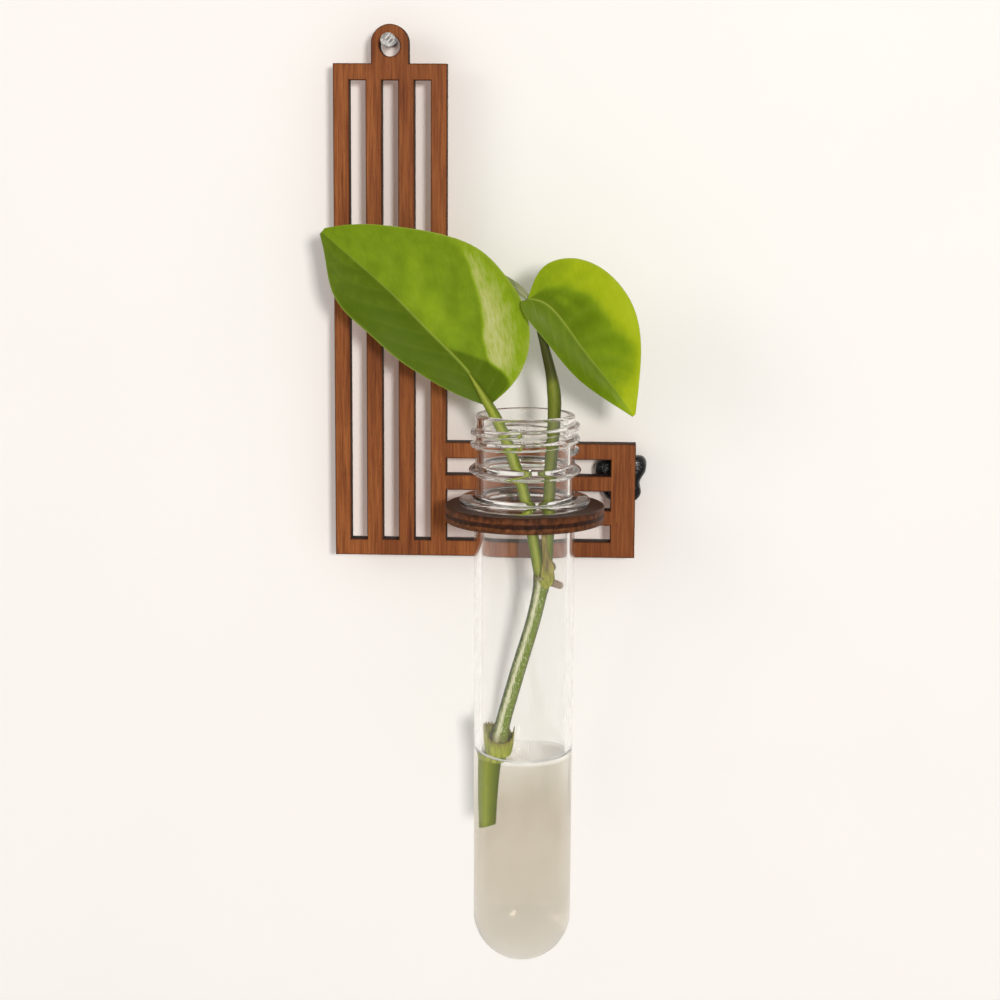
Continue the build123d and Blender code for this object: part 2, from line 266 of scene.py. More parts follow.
rounded = add(tree, "Bevel", {"Radius": SMOKED * MM}, samples=6)
facing = add(tree, "NewGeometry")
turned = add(tree, "VectorMath", links={0: rounded, 1: facing.outputs["Normal"]}, operation="DOT_PRODUCT")
rim = add(tree, "MapRange", {"From Min": 0.75, "From Max": 0.99, "To Min": 0.85, "To Max": 0.0},
          {"Value": turned.outputs["Value"]})
smoked = add(tree, "MixRGB", {"Color2": colour("#34190B")}, {"Fac": rim, "Color1": cut})
bump = add(tree, "Bump", {"Strength": 0.25, "Distance": 0.08 * MM}, {"Height": grain})
matt = add(tree, "MapRange", {"To Min": 0.95, "To Max": 0.55}, {"Value": face})
wire(tree, shader, {"Base Color": smoked, "Roughness": matt, "Normal": bump})
dress("wall_panel", panel_wood)

# %% [markdown]
# The ring is cut from the same kind of sheet but stained darker. Its edge shows the three plies: two
# lighter face veneers and a dark, burnt core between them. The plies lie flat, so they are bands of height.

# %% Dark plywood of the ring
RING_FACE = 0.05
RING_GRAIN = (9.0, 0.5, 0.5)
SCORCH = 1.4
ring_middle, ring_half = (ring_low[2] + ring_high[2]) / 2, (ring_high[2] - ring_low[2]) / 2

ring_wood, tree, shader = new_finish("dark-stained three-ply", Roughness=0.5, Specular_IOR_Level=0.1)
place = add(tree, "TexCoord").outputs["Object"]
grain_map = add(tree, "Mapping", {"Scale": per_mm(*RING_GRAIN)}, {"Vector": place})
grain = add(tree, "TexNoise", {"Scale": 1.0, "Detail": 4.0, "Roughness": 0.6}, {"Vector": grain_map})
height = add(tree, "SeparateXYZ", links={"Vector": place})
level = add(tree, "MapRange", {"From Min": ring_low[2] * MM, "From Max": ring_high[2] * MM},
            {"Value": height.outputs["Z"]})
wander = add(tree, "Math", {1: 0.10}, {0: grain}, operation="MULTIPLY")
ply = add(tree, "Math", links={0: level, 1: wander})
plies = add(tree, "ValToRGB", links={"Fac": ply},
            stops=((0.00, "#5E361E"), (1.00, "#5A3420"), (0.34, "#84502F"), (0.42, "#44271A"),
                   (0.62, "#48291A"), (0.70, "#7E4A2C")))
scorch = add(tree, "TexNoise", {"Scale": 1 / (SCORCH * MM), "Detail": 4.0}, {"Vector": place})
scorched = add(tree, "ValToRGB", links={"Fac": scorch}, stops=((0.35, "#9C9C9C"), (0.68, "#FFFFFF")))
edge = add(tree, "MixRGB", {"Fac": 1.0}, {"Color1": plies, "Color2": scorched}, blend_type="MULTIPLY")
veneer = add(tree, "ValToRGB", links={"Fac": grain}, stops=((0.30, "#261206"), (0.72, "#4A2A16")))
inward = add(tree, "Math", {1: ring_middle * MM}, {0: height.outputs["Z"]}, operation="SUBTRACT")
away = add(tree, "Math", links={0: inward}, operation="ABSOLUTE")
face = add(tree, "MapRange", {"From Min": (ring_half - RING_FACE) * MM,
                              "From Max": (ring_half - FACE_SKIN) * MM}, {"Value": away})
cut = add(tree, "MixRGB", links={"Fac": face, "Color1": edge, "Color2": veneer})
bump = add(tree, "Bump", {"Strength": 0.3, "Distance": 0.1 * MM}, {"Height": grain})
wire(tree, shader, {"Base Color": cut, "Normal": bump})
dress("holder_ring", ring_wood)

# %% [markdown]
# The nail is zinc-plated steel. Hammer blows have scratched its head, and the zinc is patchy. A metal keeps
# its own index of refraction; only its colour and roughness change from place to place. The shank behind
# the head is painted nearly black: painted shade under the head and in the hole.

# %% Zinc-plated steel of the nail
SCRATCH = (0.22, 2.0, 1.8)
SCRATCH_LEAN = (0.0, 0.75, 0.0)
PATCH = (0.7, 1.6, 0.7)
HEAD_FROM, HEAD_TO = 0.8, 1.1
nail_zinc, tree, shader = new_finish("zinc-plated steel", Metallic=1.0)
place = add(tree, "TexCoord").outputs["Object"]
patch_map = add(tree, "Mapping", {"Scale": per_mm(*PATCH)}, {"Vector": place})
patch = add(tree, "TexNoise", {"Scale": 1.0, "Detail": 5.0}, {"Vector": patch_map})
zinc = add(tree, "ValToRGB", links={"Fac": patch}, stops=((0.30, "#B4B2B0"), (0.62, "#EAE8E5")))
# The shank behind the head is painted nearly black: painted shade under the head and in the hole.
painted_shade_shank = add(tree, "ValToRGB", links={"Fac": patch}, stops=((0.30, "#141210"), (0.62, "#3E3B38")))
nail_front = box_mm("wall_nail")[0][1]
depth = add(tree, "SeparateXYZ", links={"Vector": place})
behind = add(tree, "MapRange", {"From Min": (nail_front + HEAD_FROM) * MM,
                                "From Max": (nail_front + HEAD_TO) * MM}, {"Value": depth.outputs["Y"]})
scratch_map = add(tree, "Mapping", {"Scale": tuple(MM * size for size in SCRATCH),
                                    "Rotation": SCRATCH_LEAN}, {"Vector": place}, vector_type="TEXTURE")
scratch = add(tree, "TexNoise", {"Scale": 1.0, "Detail": 3.0}, {"Vector": scratch_map})
marks = add(tree, "ValToRGB", links={"Fac": scratch}, stops=((0.40, "#9A9698"), (0.56, "#FFFFFF")))
worn = add(tree, "MixRGB", {"Fac": 1.0}, {"Color1": zinc, "Color2": marks}, blend_type="MULTIPLY")
# Behind the head the painted shade of the shank takes over from the zinc.
steel = add(tree, "MixRGB", links={"Fac": behind, "Color1": worn, "Color2": painted_shade_shank})
rough = add(tree, "MapRange", {**NOISE_SPAN, "To Min": 0.42, "To Max": 0.62}, {"Value": patch})
bump = add(tree, "Bump", {"Strength": 0.35, "Distance": 0.05 * MM}, {"Height": scratch})
wire(tree, shader, {"Base Color": steel, "Roughness": rough, "Normal": bump})
dress("wall_nail", nail_zinc)

# %% [markdown]
# Mounting putty is pressed between the bracket and the wall, so it is flat at the front and back and bulges
# in folds around its edge. An outline is carried from the wall to the bracket: a superellipse swells it in
# the middle of the gap, and a few waves along the outline fold its side. Rubbed putty shines, with a faint
# grain.

# %% Black putty
PUTTY_GRAIN = (0.8, 0.8, 0.8)
putty_black, tree, shader = new_finish("black mounting putty", Specular_IOR_Level=0.4)
place = add(tree, "TexCoord").outputs["Object"]
grain_map = add(tree, "Mapping", {"Scale": per_mm(*PUTTY_GRAIN)}, {"Vector": place})
grain = add(tree, "TexNoise", {"Scale": 1.0, "Detail": 4.0}, {"Vector": grain_map})
shade = add(tree, "ValToRGB", links={"Fac": grain}, stops=((0.3, "#050506"), (0.7, "#121315")))
rough = add(tree, "MapRange", {**NOISE_SPAN, "To Min": 0.16, "To Max": 0.36}, {"Value": grain})
bump = add(tree, "Bump", {"Strength": 0.6, "Distance": 0.3 * MM}, {"Height": grain})
wire(tree, shader, {"Base Color": shade, "Roughness": rough, "Normal": bump})

LUMP = ((-10.5, 24.2), (-6.9, 25.6), (-2.5, 25.3), (0.7, 26.2), (3.1, 24.4), (2.7, 21.8), (1.5, 19.0),
        (1.7, 16.2), (0.1, 13.9), (-3.9, 13.6), (-7.7, 15.2), (-10.1, 19.2))


def putty_surface(rows=48, cols=160):
    """Outline times (1 - |h|^4)^(1/4) about its middle, h from -1 at the wall to 1 at the bracket."""
    loop = LUMP + LUMP + LUMP
    third = np.linspace(1 / 3, 2 / 3, cols, endpoint=False)
    outline = smooth_line(loop, third)
    middle = outline.mean(0)
    swing = np.linspace(-np.pi / 2, np.pi / 2, rows)[:, None] * 0.985
    h = np.sign(np.sin(swing)) * np.abs(np.sin(swing)) ** 0.8
    a = np.linspace(0, 2 * np.pi, cols, endpoint=False)[None, :]
    swell = (1 - np.abs(h) ** 4) ** 0.25
    folds = 1 - 0.05 * (1 - h ** 2) * (0.6 + np.sin(5 * a + 2.2 * h) * np.cos(3 * a - 1.3 * h))
    spread = (0.25 + 0.75 * swell) * folds - 0.25 * (1 - swell)
    x = RIGHT + middle[0] + (outline[:, 0] - middle[0]) * spread
    z = FOOT + middle[1] + (outline[:, 1] - middle[1]) * spread
    y = np.broadcast_to(BACK / 2 * (1 + h), x.shape)
    return np.stack([x, y, z], -1)


putty = putty_surface()
make_piece("pressed_putty", putty, putty_black, "bracket", ["putty_lump"])

# %% [markdown]
# The tube is a moulded PET blank with a screw neck. A lathe shape would miss its thread, so the radius of
# the turned profile also gets a helix: at each angle and height, the distance to the nearest turn decides
# how far the thread stands out. The profile is sampled finely and averaged over half a millimetre, which
# rounds its edges as a mould does.

# %% Profile of the tube
FINISH_H, NECK_R, BORE_R = 23.0, 12.5, 10.9
FLANGE_R, FLANGE_T = 16.5, 1.8
BEAD_R, BEAD_DROP = 14.2, 14.0
BODY_R_TOP, BODY_R_END, BORE_R_END, WALL_TIP = 12.75, 12.5, 10.7, 2.4
THREAD_OUT, THREAD_DROP, PITCH, TURNS = 1.22, 9.4, 3.18, 2.1
THREAD_HALF, THREAD_FLANK, RUN_IN, RUN_OUT = 1.0, 0.62, 0.03, 0.05
VENT_HALF, VENT_EDGE, VENT_CUT = 5.0, 0.003, 0.55
SEAT = RIM - FINISH_H
EDGE_STEP, EDGE_REACH = 0.12, 5


def soften(points, step, reach):
    """A polyline sampled every step and averaged over reach samples, with its two ends kept."""
    p = np.asarray(points, float)
    way = way_along(p)
    at = np.linspace(0, way[-1], int(way[-1] / step))
    line = np.stack([np.interp(at, way, p[:, 0]), np.interp(at, way, p[:, 1])], -1)
    pad = reach // 2
    held = np.concatenate([np.repeat(line[:1], pad, 0), line, np.repeat(line[-1:], pad, 0)])
    kernel = np.ones(reach) / reach
    mean = np.stack([np.convolve(held[:, k], kernel, "valid") for k in (0, 1)], -1)
    mean[[0, -1]] = line[[0, -1]]
    return mean


def tube_profile():
    """Radius and height along the wall: outer end, body, flange, bead, neck, rim, then back down inside."""
    bead, top = RIM - BEAD_DROP, SEAT + FLANGE_T
    swing = np.linspace(0.02, np.pi / 2, 30)[:, None]
    end = np.array([[0, TIP + BODY_R_END]]) + BODY_R_END * np.hstack([np.sin(swing), -np.cos(swing)])
    body = np.linspace(end[-1], (BODY_R_TOP, SEAT - 2), 30)[1:-1]
    neck = soften([(BODY_R_TOP, SEAT - 2), (BODY_R_TOP, SEAT), (FLANGE_R - 0.4, SEAT),
                   (FLANGE_R, SEAT + 0.4), (FLANGE_R, top - 0.5), (FLANGE_R - 0.4, top),
                   (NECK_R + 0.8, top), (NECK_R, top + 0.8), (NECK_R, bead - 1.4),
                   (BEAD_R - 0.2, bead - 0.6), (BEAD_R, bead), (BEAD_R - 0.3, bead + 0.4),
                   (NECK_R, bead + 1.4), (NECK_R, RIM - 0.5), (NECK_R - 0.5, RIM), (BORE_R + 0.3, RIM),
                   (BORE_R, RIM - 0.3), (BORE_R, RIM - 3)], EDGE_STEP, EDGE_REACH)
    inner = np.linspace((BORE_R, RIM - 3), (BORE_R, SEAT), 12)[1:]
    bore = np.linspace((BORE_R, SEAT), (BORE_R_END, TIP + WALL_TIP + BORE_R_END), 30)[1:-1]
    inner_end = np.array([[0, TIP + WALL_TIP + BORE_R_END]])
    inner_end = inner_end + BORE_R_END * np.hstack([np.sin(swing[::-1]), -np.cos(swing[::-1])])
    profile = np.concatenate([end, body, neck, inner, bore, inner_end])
    outside = np.arange(len(profile)) < len(end) + len(body) + len(neck) // 2 + len(neck) // 3
    return profile, outside


def thread_height(angle, z):
    """Thread above the neck: a soft trapezoid over the nearest turn, tapered at its ends, cut by vents."""
    turn = angle / (2 * np.pi)
    nearest = np.round((z - RIM + THREAD_DROP) / PITCH - turn)
    along = turn + nearest
    away = np.abs(z - RIM + THREAD_DROP - PITCH * along)
    crest = np.clip((THREAD_HALF - away) / THREAD_FLANK, 0, 1)
    crest = crest * crest * (3 - 2 * crest)
    taper = np.clip(np.minimum(along + RUN_IN, TURNS - along) / RUN_OUT, 0, 1)
    vent = np.clip((np.abs(np.sin(angle)) - np.cos(np.radians(VENT_HALF))) / VENT_EDGE, 0, 1)
    return THREAD_OUT * crest * taper * (1 - VENT_CUT * vent)


profile, outside = tube_profile()
round_tube = np.linspace(0, 2 * np.pi, 160, endpoint=False)
radius = profile[:, :1] + outside[:, None] * thread_height(round_tube[None, :], profile[:, 1:])
height = np.broadcast_to(profile[:, 1:], radius.shape)
tube = np.stack([TUBE_X + radius * np.cos(round_tube), TUBE_Y + radius * np.sin(round_tube), height], -1)
print("tube profile:", len(profile), "rings")

# %% [markdown]
# Clear PET bends light a little more than window glass. Handling leaves it not quite even: faint smudges
# change its roughness. It mirrors a dim room, so its mirror image is tinted down, and the stem inside keeps
# its colour. Light that is caught between the walls, by total reflection on their inner sides, keeps its
# strength.

# %% Clear PET of the tube
DIM_MIRROR = "#B0B0B0"
PET_IOR = 1.575
SMUDGE = (9, 9, 14)


def mirror_dimly(tree, shader):
    """The mirror image on a clear piece: dim on its outer side, and at full strength on its inner side."""
    side = add(tree, "NewGeometry")
    mirror = add(tree, "MixRGB", {"Color1": colour(DIM_MIRROR), "Color2": colour("#FFFFFF")},
                 {"Fac": side.outputs["Backfacing"]})
    wire(tree, shader, {"Specular Tint": mirror})


clear_pet, tree, shader = new_finish("clear moulded PET", IOR=PET_IOR, Transmission_Weight=1.0,
                                     Base_Color=colour("#FCFCFB"))
mirror_dimly(tree, shader)
place = add(tree, "TexCoord").outputs["Object"]
smudge_map = add(tree, "Mapping", {"Scale": per_mm(*SMUDGE)}, {"Vector": place})
smudge = add(tree, "TexNoise", {"Scale": 1.0, "Detail": 4.0}, {"Vector": smudge_map})
rough = add(tree, "MapRange", {"From Min": 0.4, "From Max": 0.75, "To Min": 0.0, "To Max": 0.06},
            {"Value": smudge})
wire(tree, shader, {"Roughness": rough})


def let_light_through(piece):
    """A clear piece casts no shadow and gathers no light: what it holds is lit as if bare."""
    piece.visible_shadow = False
    piece.visible_diffuse = False


tube_piece = make_piece("screw_neck_tube", tube, clear_pet, "tube", ["test_tube"])
let_light_through(tube_piece)

# %% [markdown]
# The water fills the tube's end. Its surface reaches a little into the wall, so that no air shows between
# the two, and its top is a disc that climbs at the wall and round the stub, as water does, most of all at
# the sides and in front, where the wall is wet. The climb falls off as the exponential of minus the
# distance over about a millimetre. The cloudiness of the water tints it, less so towards the sides and the
# round end, where less water is looked through, and at the back below the surface. It isn't in the thin
# film at the contact line, where a bright white line is painted along the front: a painted highlight.
# The open side of the surface is painted pale, as painted brightness.

# %% Water
STEM_R = 2.3
WATER_IOR = 1.333
WATER_LEVEL, WALL_OVERLAP = -179.6, 0.1
WALL_CLIMB, CLIMB_REACH, CLIMB_MOST = 1.5, 0.9, 1.15
SIDE_CLIMB, FRONT_EASE, STUB_CLIMB = 3.6, 2.9, 0.75
FILM_H, DOME_FILM, DOME_FADE = 0.6, 0.45, 9.0
# These shape a painted highlight: the bright white line along the front of the contact line.
LINE_H, LINE_FROM, LINE_FULL = 0.8, 0.22, 0.3
SEEN_BACK, SEEN_FADE = 15.0, 10.0
# The open side of the surface is painted pale: painted brightness.
PAINTED_PALE_SURFACE, PAINTED_PALE_FROM, PAINTED_PALE_TO = 0.8, -4.5, 6.5
STUB_AT = np.array([-6.4, -1.0])
HAZE = (14, 14, 22)


def water_surface(cols=144):
    """Inside of the tube from its lowest point to the contact line, then inwards across the surface."""
    low = TIP + WALL_TIP + BORE_R_END
    swing = np.linspace(0.02, np.pi / 2, 28)
    r_end = (BORE_R_END + WALL_OVERLAP) * np.sin(swing)
    z_end = low - (BORE_R_END + WALL_OVERLAP) * np.cos(swing)
    z_wall = np.linspace(low, WATER_LEVEL - 2, 16)[1:]
    z_wall = np.concatenate([z_wall, np.linspace(WATER_LEVEL - 1.8, WATER_LEVEL + WALL_CLIMB, 20)])
    r_wall = WALL_OVERLAP + np.interp(z_wall, [low, SEAT], [BORE_R_END, BORE_R])
    r_top = r_wall[-1] * (1 - np.linspace(0, 1, 60)[1:-1] ** 1.8)
    a = np.linspace(0, 2 * np.pi, cols, endpoint=False)[None, :]
    r = np.concatenate([r_end, r_wall, r_top])[:, None]
    x = r * np.cos(a)
    y = r * np.sin(a)
    from_stub = np.hypot(x - STUB_AT[0], y - STUB_AT[1]) - STEM_R
    facing = 0.5 - 0.5 * np.sin(a)
    frontal = SIDE_CLIMB * facing - FRONT_EASE * facing ** 2
    climb = frontal * np.exp(-np.maximum(r_wall[-1] - r, 0) / CLIMB_REACH)
    climb = np.minimum(climb + STUB_CLIMB * np.exp(-np.maximum(from_stub, 0) / CLIMB_REACH), CLIMB_MOST)
    rim_climb = climb[len(r_end) + len(r_wall)]
    wall_share = np.clip((z_wall - z_wall[0]) / (z_wall[-1] - z_wall[0]), 0, 1)[:, None]
    z_wall = z_wall[:, None] + WALL_CLIMB * wall_share ** 8 * (rim_climb - 1)
    z_top = WATER_LEVEL + WALL_CLIMB * climb[len(r_end) + len(r_wall):]
    z = np.concatenate([np.broadcast_to(z_end[:, None], (len(r_end), cols)), z_wall, z_top])
    top = np.arange(len(r))[:, None] >= len(r_end) + len(r_wall)
    near = np.exp(-np.maximum(r_wall[-1] - r, 0) / CLIMB_REACH)
    film = near * np.clip((z - WATER_LEVEL) / FILM_H + 1, 0, 1)
    film = np.maximum(film, DOME_FILM * np.clip((low + DOME_FADE - z) / (BORE_R_END + DOME_FADE), 0, 1))
    seen = np.clip((z - WATER_LEVEL + SEEN_BACK) / SEEN_FADE, 0, 1) * np.clip(4 * np.sin(a) + 0.8, 0, 1)
    film = np.maximum(film, seen)
    film = np.where(top, 1.0, film)
    contact = WATER_LEVEL + WALL_CLIMB * rim_climb
    # A painted highlight: a white line along the front of the contact line.
    line = np.clip((near - LINE_FROM) / LINE_FULL, 0, 1)
    line = line * np.where(top, 1.0, np.clip((z - contact) / LINE_H + 1, 0, 1))
    line = line * np.clip((facing - 0.35) / 0.15, 0, 1) * (0.8 + 0.2 * np.sin(7 * a))
    # The open side of the surface is painted pale, as painted brightness.
    painted_pale = np.clip((x - PAINTED_PALE_FROM) / (PAINTED_PALE_TO - PAINTED_PALE_FROM), 0, 1)
    line = np.maximum(line, PAINTED_PALE_SURFACE * painted_pale * painted_pale * (3 - 2 * painted_pale) * top)
    return np.stack([TUBE_X + x, TUBE_Y + y, z], -1), film, line


tap_water, tree, shader = new_finish("cloudy tap water", IOR=WATER_IOR, Roughness=0.0)
mirror_dimly(tree, shader)
place = add(tree, "TexCoord").outputs["Object"]
haze_map = add(tree, "Mapping", {"Scale": per_mm(*HAZE)}, {"Vector": place})
haze = add(tree, "TexNoise", {"Scale": 1.0, "Detail": 2.0}, {"Vector": haze_map})
tint = add(tree, "ValToRGB", links={"Fac": haze}, stops=((0.3, "#C7BEAD"), (0.7, "#DBD4C6")))
film = add(tree, "Attribute", attribute_name="film")
slant = add(tree, "LayerWeight", {"Blend": 0.5})
short = add(tree, "MapRange", {"From Min": 0.16, "From Max": 0.34, "To Max": 0.75},
            {"Value": slant.outputs["Facing"]})
faint = add(tree, "Math", links={0: film.outputs["Fac"], 1: short}, operation="MAXIMUM")
thin = add(tree, "MixRGB", {"Color2": colour("#FCFBF9")}, {"Fac": faint, "Color1": tint})
# The painted highlight line and the painted pale surface make the water white and less clear there.
painted_highlight_line = add(tree, "Attribute", attribute_name="line")
clear = add(tree, "MapRange", {"To Min": 1.0, "To Max": 0.3}, {"Value": painted_highlight_line.outputs["Fac"]})
wire(tree, shader, {"Base Color": thin, "Transmission Weight": clear})
water, film, line = water_surface()
water_piece = make_piece("tube_water", water, tap_water, "tube", (),
                         {"film": film, "line": line})
let_light_through(water_piece)

# %% [markdown]
# Stems and leaf stalks are round sections carried along a smooth line. At each point of the line the
# section lies across it: its two directions are the line's direction crossed with Y, and that crossed with
# the line again. The radius changes along the line, for the swollen nodes, and round it, for the ribs and
# grooves of a living stem.

# %% Stems and leaf stalks


def carried(points, shares, radius):
    """Rings centre + r (cos a side + sin a back) on a smooth line, where radius is r by share and angle."""
    line = RIM_MID + smooth_line(points, shares)
    ahead = np.gradient(line, axis=0)
    ahead /= np.linalg.norm(ahead, axis=1, keepdims=True)
    side = np.cross(ahead, (0.0, 1.0, 0.0))
    side /= np.linalg.norm(side, axis=1, keepdims=True)
    back = np.cross(side, ahead)
    a = np.linspace(0, 2 * np.pi, radius.shape[1], endpoint=False)
    across = np.cos(a)[None, :, None] * side[:, None] + np.sin(a)[None, :, None] * back[:, None]
    return line[:, None] + radius[..., None] * across


def swelling(t, middle, width):
    """A smooth bump of height 1 around a share of the way."""
    return np.exp(-((t - middle) / width) ** 2)


STEM_RUN = ((4.8, -1.0, -41.0), (2.4, -1.1, -52.4), (-0.5, -1.0, -62.6), (-3.4, -1.1, -73.0),
            (-6.0, -1.0, -84.0), (-6.9, -1.1, -95.0), (-7.0, -1.0, -108.7))
LOWER_NODE, STUB_END = 0.645, 0.955
ring = np.linspace(0, 2 * np.pi, 96, endpoint=False)[None, :]

t = np.linspace(0.0, LOWER_NODE, 150)
ribs = 1 + 0.012 * np.cos(3 * ring + 5 * t[:, None]) + 0.010 * np.cos(17 * ring - 4 * t[:, None])
girth = STEM_R * (0.82 + 0.29 * swelling(t, 0.0, 0.035) + 0.27 * swelling(t, LOWER_NODE, 0.04))
girth = girth + 0.12 * swelling(t, 0.055, 0.004) - 0.06 * swelling(t, 0.18, 0.12)
upper_grid = carried(STEM_RUN, t, girth[:, None] * ribs)

t = np.linspace(LOWER_NODE, STUB_END, 60)
ribs = 1 + 0.015 * np.cos(3 * ring + 6 * t[:, None]) + 0.008 * np.cos(15 * ring)
girth = STEM_R * np.interp(t, [LOWER_NODE, 0.72, STUB_END], [1.08, 1.05, 0.8])
lower_grid = carried(STEM_RUN, t, girth[:, None] * ribs)
CUT_AT = RIM_MID + (-7.0, -1.0, -106.4)
CUT_LEAN = np.array([-0.45, 0.2, 1.0])
drop = (lower_grid[-1] - CUT_AT) @ CUT_LEAN / CUT_LEAN[2]
lower_grid[-1, :, 2] -= drop
print("stem from", upper_grid[0, :, 2].mean().round(1), "to", lower_grid[-1, :, 2].mean().round(1))

# %% [markdown]
# The stem's skin is mottled: dark green on its left, then a pale stripe of dry specks with a painted
# highlight along it, then olive on its right. Fine streaks run along it. The place across the stem is
# stored with the mesh, so the stripe follows every bend, and so is the brown of older skin and of painted
# shade.

# %% Green stem and stalk finishes
SPECK = (0.22, 0.22, 0.5)
STREAK = (0.24, 0.24, 2.2)


def stem_finish(name, skin_and_highlight_stops, speck, speck_share, brown, shine=0.2):
    """Green skin: colours across it, some a painted highlight, shifted by streaks, dry specks, and brown
    for age and painted shade.
    """
    made, tree, shader = new_finish(name, Roughness=0.45, Specular_IOR_Level=shine)
    place = add(tree, "TexCoord").outputs["Object"]
    side = add(tree, "Attribute", attribute_name="side")
    age_and_shade = add(tree, "Attribute", attribute_name="age_and_shade")
    streak_map = add(tree, "Mapping", {"Scale": per_mm(*STREAK)}, {"Vector": place})
    streak = add(tree, "TexNoise", {"Scale": 1.0, "Detail": 5.0, "Roughness": 0.7}, {"Vector": streak_map})
    speck_map = add(tree, "Mapping", {"Scale": per_mm(*SPECK)}, {"Vector": place})
    specks = add(tree, "TexNoise", {"Scale": 1.0, "Detail": 2.0}, {"Vector": speck_map})
    shift = add(tree, "MapRange", {**NOISE_SPAN, "To Min": -0.13, "To Max": 0.13}, {"Value": streak})
    across = add(tree, "Math", links={0: side.outputs["Fac"], 1: shift})
    # Colours across the stem, some of them a painted highlight.
    skin = add(tree, "ValToRGB", links={"Fac": across}, stops=skin_and_highlight_stops)
    dots = add(tree, "MapRange", {"From Min": 0.56, "From Max": 0.68, "To Max": speck_share},
               {"Value": specks})
    spotted = add(tree, "MixRGB", {"Color2": colour(speck)}, {"Fac": dots, "Color1": skin})
    aged = add(tree, "MixRGB", {"Color2": colour(brown)}, {"Fac": age_and_shade.outputs["Fac"], "Color1": spotted})
    bump = add(tree, "Bump", {"Strength": 0.4, "Distance": 0.12 * MM}, {"Height": streak})
    wire(tree, shader, {"Base Color": aged, "Normal": bump})
    return made


# The stem's pale stripe, from 0.21 to 0.45 across, is dry skin and a painted highlight.
stem_skin = stem_finish("mottled green stem", ((0.04, "#2C3A0C"), (0.97, "#3E4C0C"), (0.14, "#4E5E12"),
                                               (0.21, "#98A060"), (0.33, "#E2E0C2"), (0.45, "#CCCE9E"),
                                               (0.53, "#6A7E18"), (0.68, "#6E8410"), (0.86, "#75861A")),
                        "#DCDCBC", 0.8, "#6A5A24")
stub_skin = stem_finish("young green stem", ((0.05, "#8C9C12"), (0.95, "#5C6C02"), (0.30, "#9AAA14"),
                                             (0.55, "#7C8E06"), (0.75, "#6E8002")), "#A0AC30", 0.25,
                        "#6E5B2A", 0.05)
# The stalk is painted lighter along its middle, a painted highlight on the round stalk, and darker towards
# both sides.
stalk_skin = stem_finish("green leaf stalk", ((0.05, "#5F6E12"), (0.95, "#66721A"), (0.30, "#8A982A"),
                                              (0.50, "#A4AC42"), (0.75, "#8A962C")), "#6A7422", 0.4,
                         "#30330A")
wing_skin = stem_finish("pale stalk wing", ((0.05, "#8E9468"), (0.95, "#8A9064"), (0.50, "#AEB088")),
                        "#7E8458", 0.3, "#6A6C40")
print("finishes:", stem_skin.name, stub_skin.name, stalk_skin.name, wing_skin.name)

# %% [markdown]
# The two stretches of the stem get their skin. It is browner at both nodes, where older sheaths have been.

# %% Place the stem


def skin_marks(grid, age_and_shade=0.0):
    """Share from 0 on the left to 1 on the right of each ring, and the skin's age and painted shade, for
    every point.
    """
    a = np.linspace(0, 2 * np.pi, grid.shape[1], endpoint=False)
    return {"side": 0.5 + 0.5 * np.cos(a), "age_and_shade": age_and_shade}


t = np.linspace(0.0, 1.0, upper_grid.shape[0])[:, None]
upper_old = 0.75 * swelling(t, 0.0, 0.035) + 0.5 * swelling(t, 1.0, 0.05)
make_piece("stem_between_nodes", upper_grid, stem_skin, "cutting", ["stem_upper"],
           skin_marks(upper_grid, upper_old))
make_piece("slant_cut_stub", lower_grid, stub_skin, "cutting", ["stem_lower"],
           skin_marks(lower_grid))

# %% [markdown]
# Each leaf stalk is thick where it wraps the stem and thinner on the way up. The left one runs into the
# midrib of its blade. The right one has a knee above the rim, and from there to the blade it is thin and
# dark, being aged and in painted shade; the rest of it is painted a little darker too, as painted shade.

# %% Leaf stalks
STALK_RIGHT = ((5.1, -1.0, -42.1), (5.9, -1.1, -29.5), (6.3, -1.2, -15.0), (7.0, -1.4, -4.0),
               (7.2, -1.5, 4.5), (5.0, -1.6, 15.8), (0.9, -1.3, 28.2), (-0.9, -0.4, 30.8),
               (-3.4, 0.6, 32.6))
STALK_LEFT = ((4.2, -1.0, -42.1), (2.1, -0.6, -31.0), (-0.8, -0.2, -18.2), (-3.4, -0.1, -10.4),
              (-6.6, -0.2, -2.6), (-9.4, -0.5, 2.4), (-11.4, -0.35, 5.7), (-14.2, 0.15, 9.9))
STALK_END, KNEE_AT = 0.93, 0.645
t = np.linspace(0, 1, 170)
groove = 1 - 0.10 * np.exp(-((ring - np.radians(300)) / 0.3) ** 2) + 0.008 * np.cos(15 * ring)
way = STALK_END * t
girth = np.interp(way, [0, 0.08, 0.3, 0.52, 0.58, 0.62, 0.68, 0.82, 0.90, 0.92, STALK_END],
                  [1.7, 1.6, 1.5, 1.6, 1.72, 1.7, 1.35, 0.95, 0.9, 0.7, 0.2])
right_grid = carried(STALK_RIGHT, way, girth[:, None] * groove)
# Above the knee the stalk is browner: its age and painted shade.
knee_age_and_shade = 0.95 / (1 + np.exp(-(way - KNEE_AT) / 0.012)) * np.interp(way, [0.65, 0.88, 0.93], [1, 0.9, 0.4])
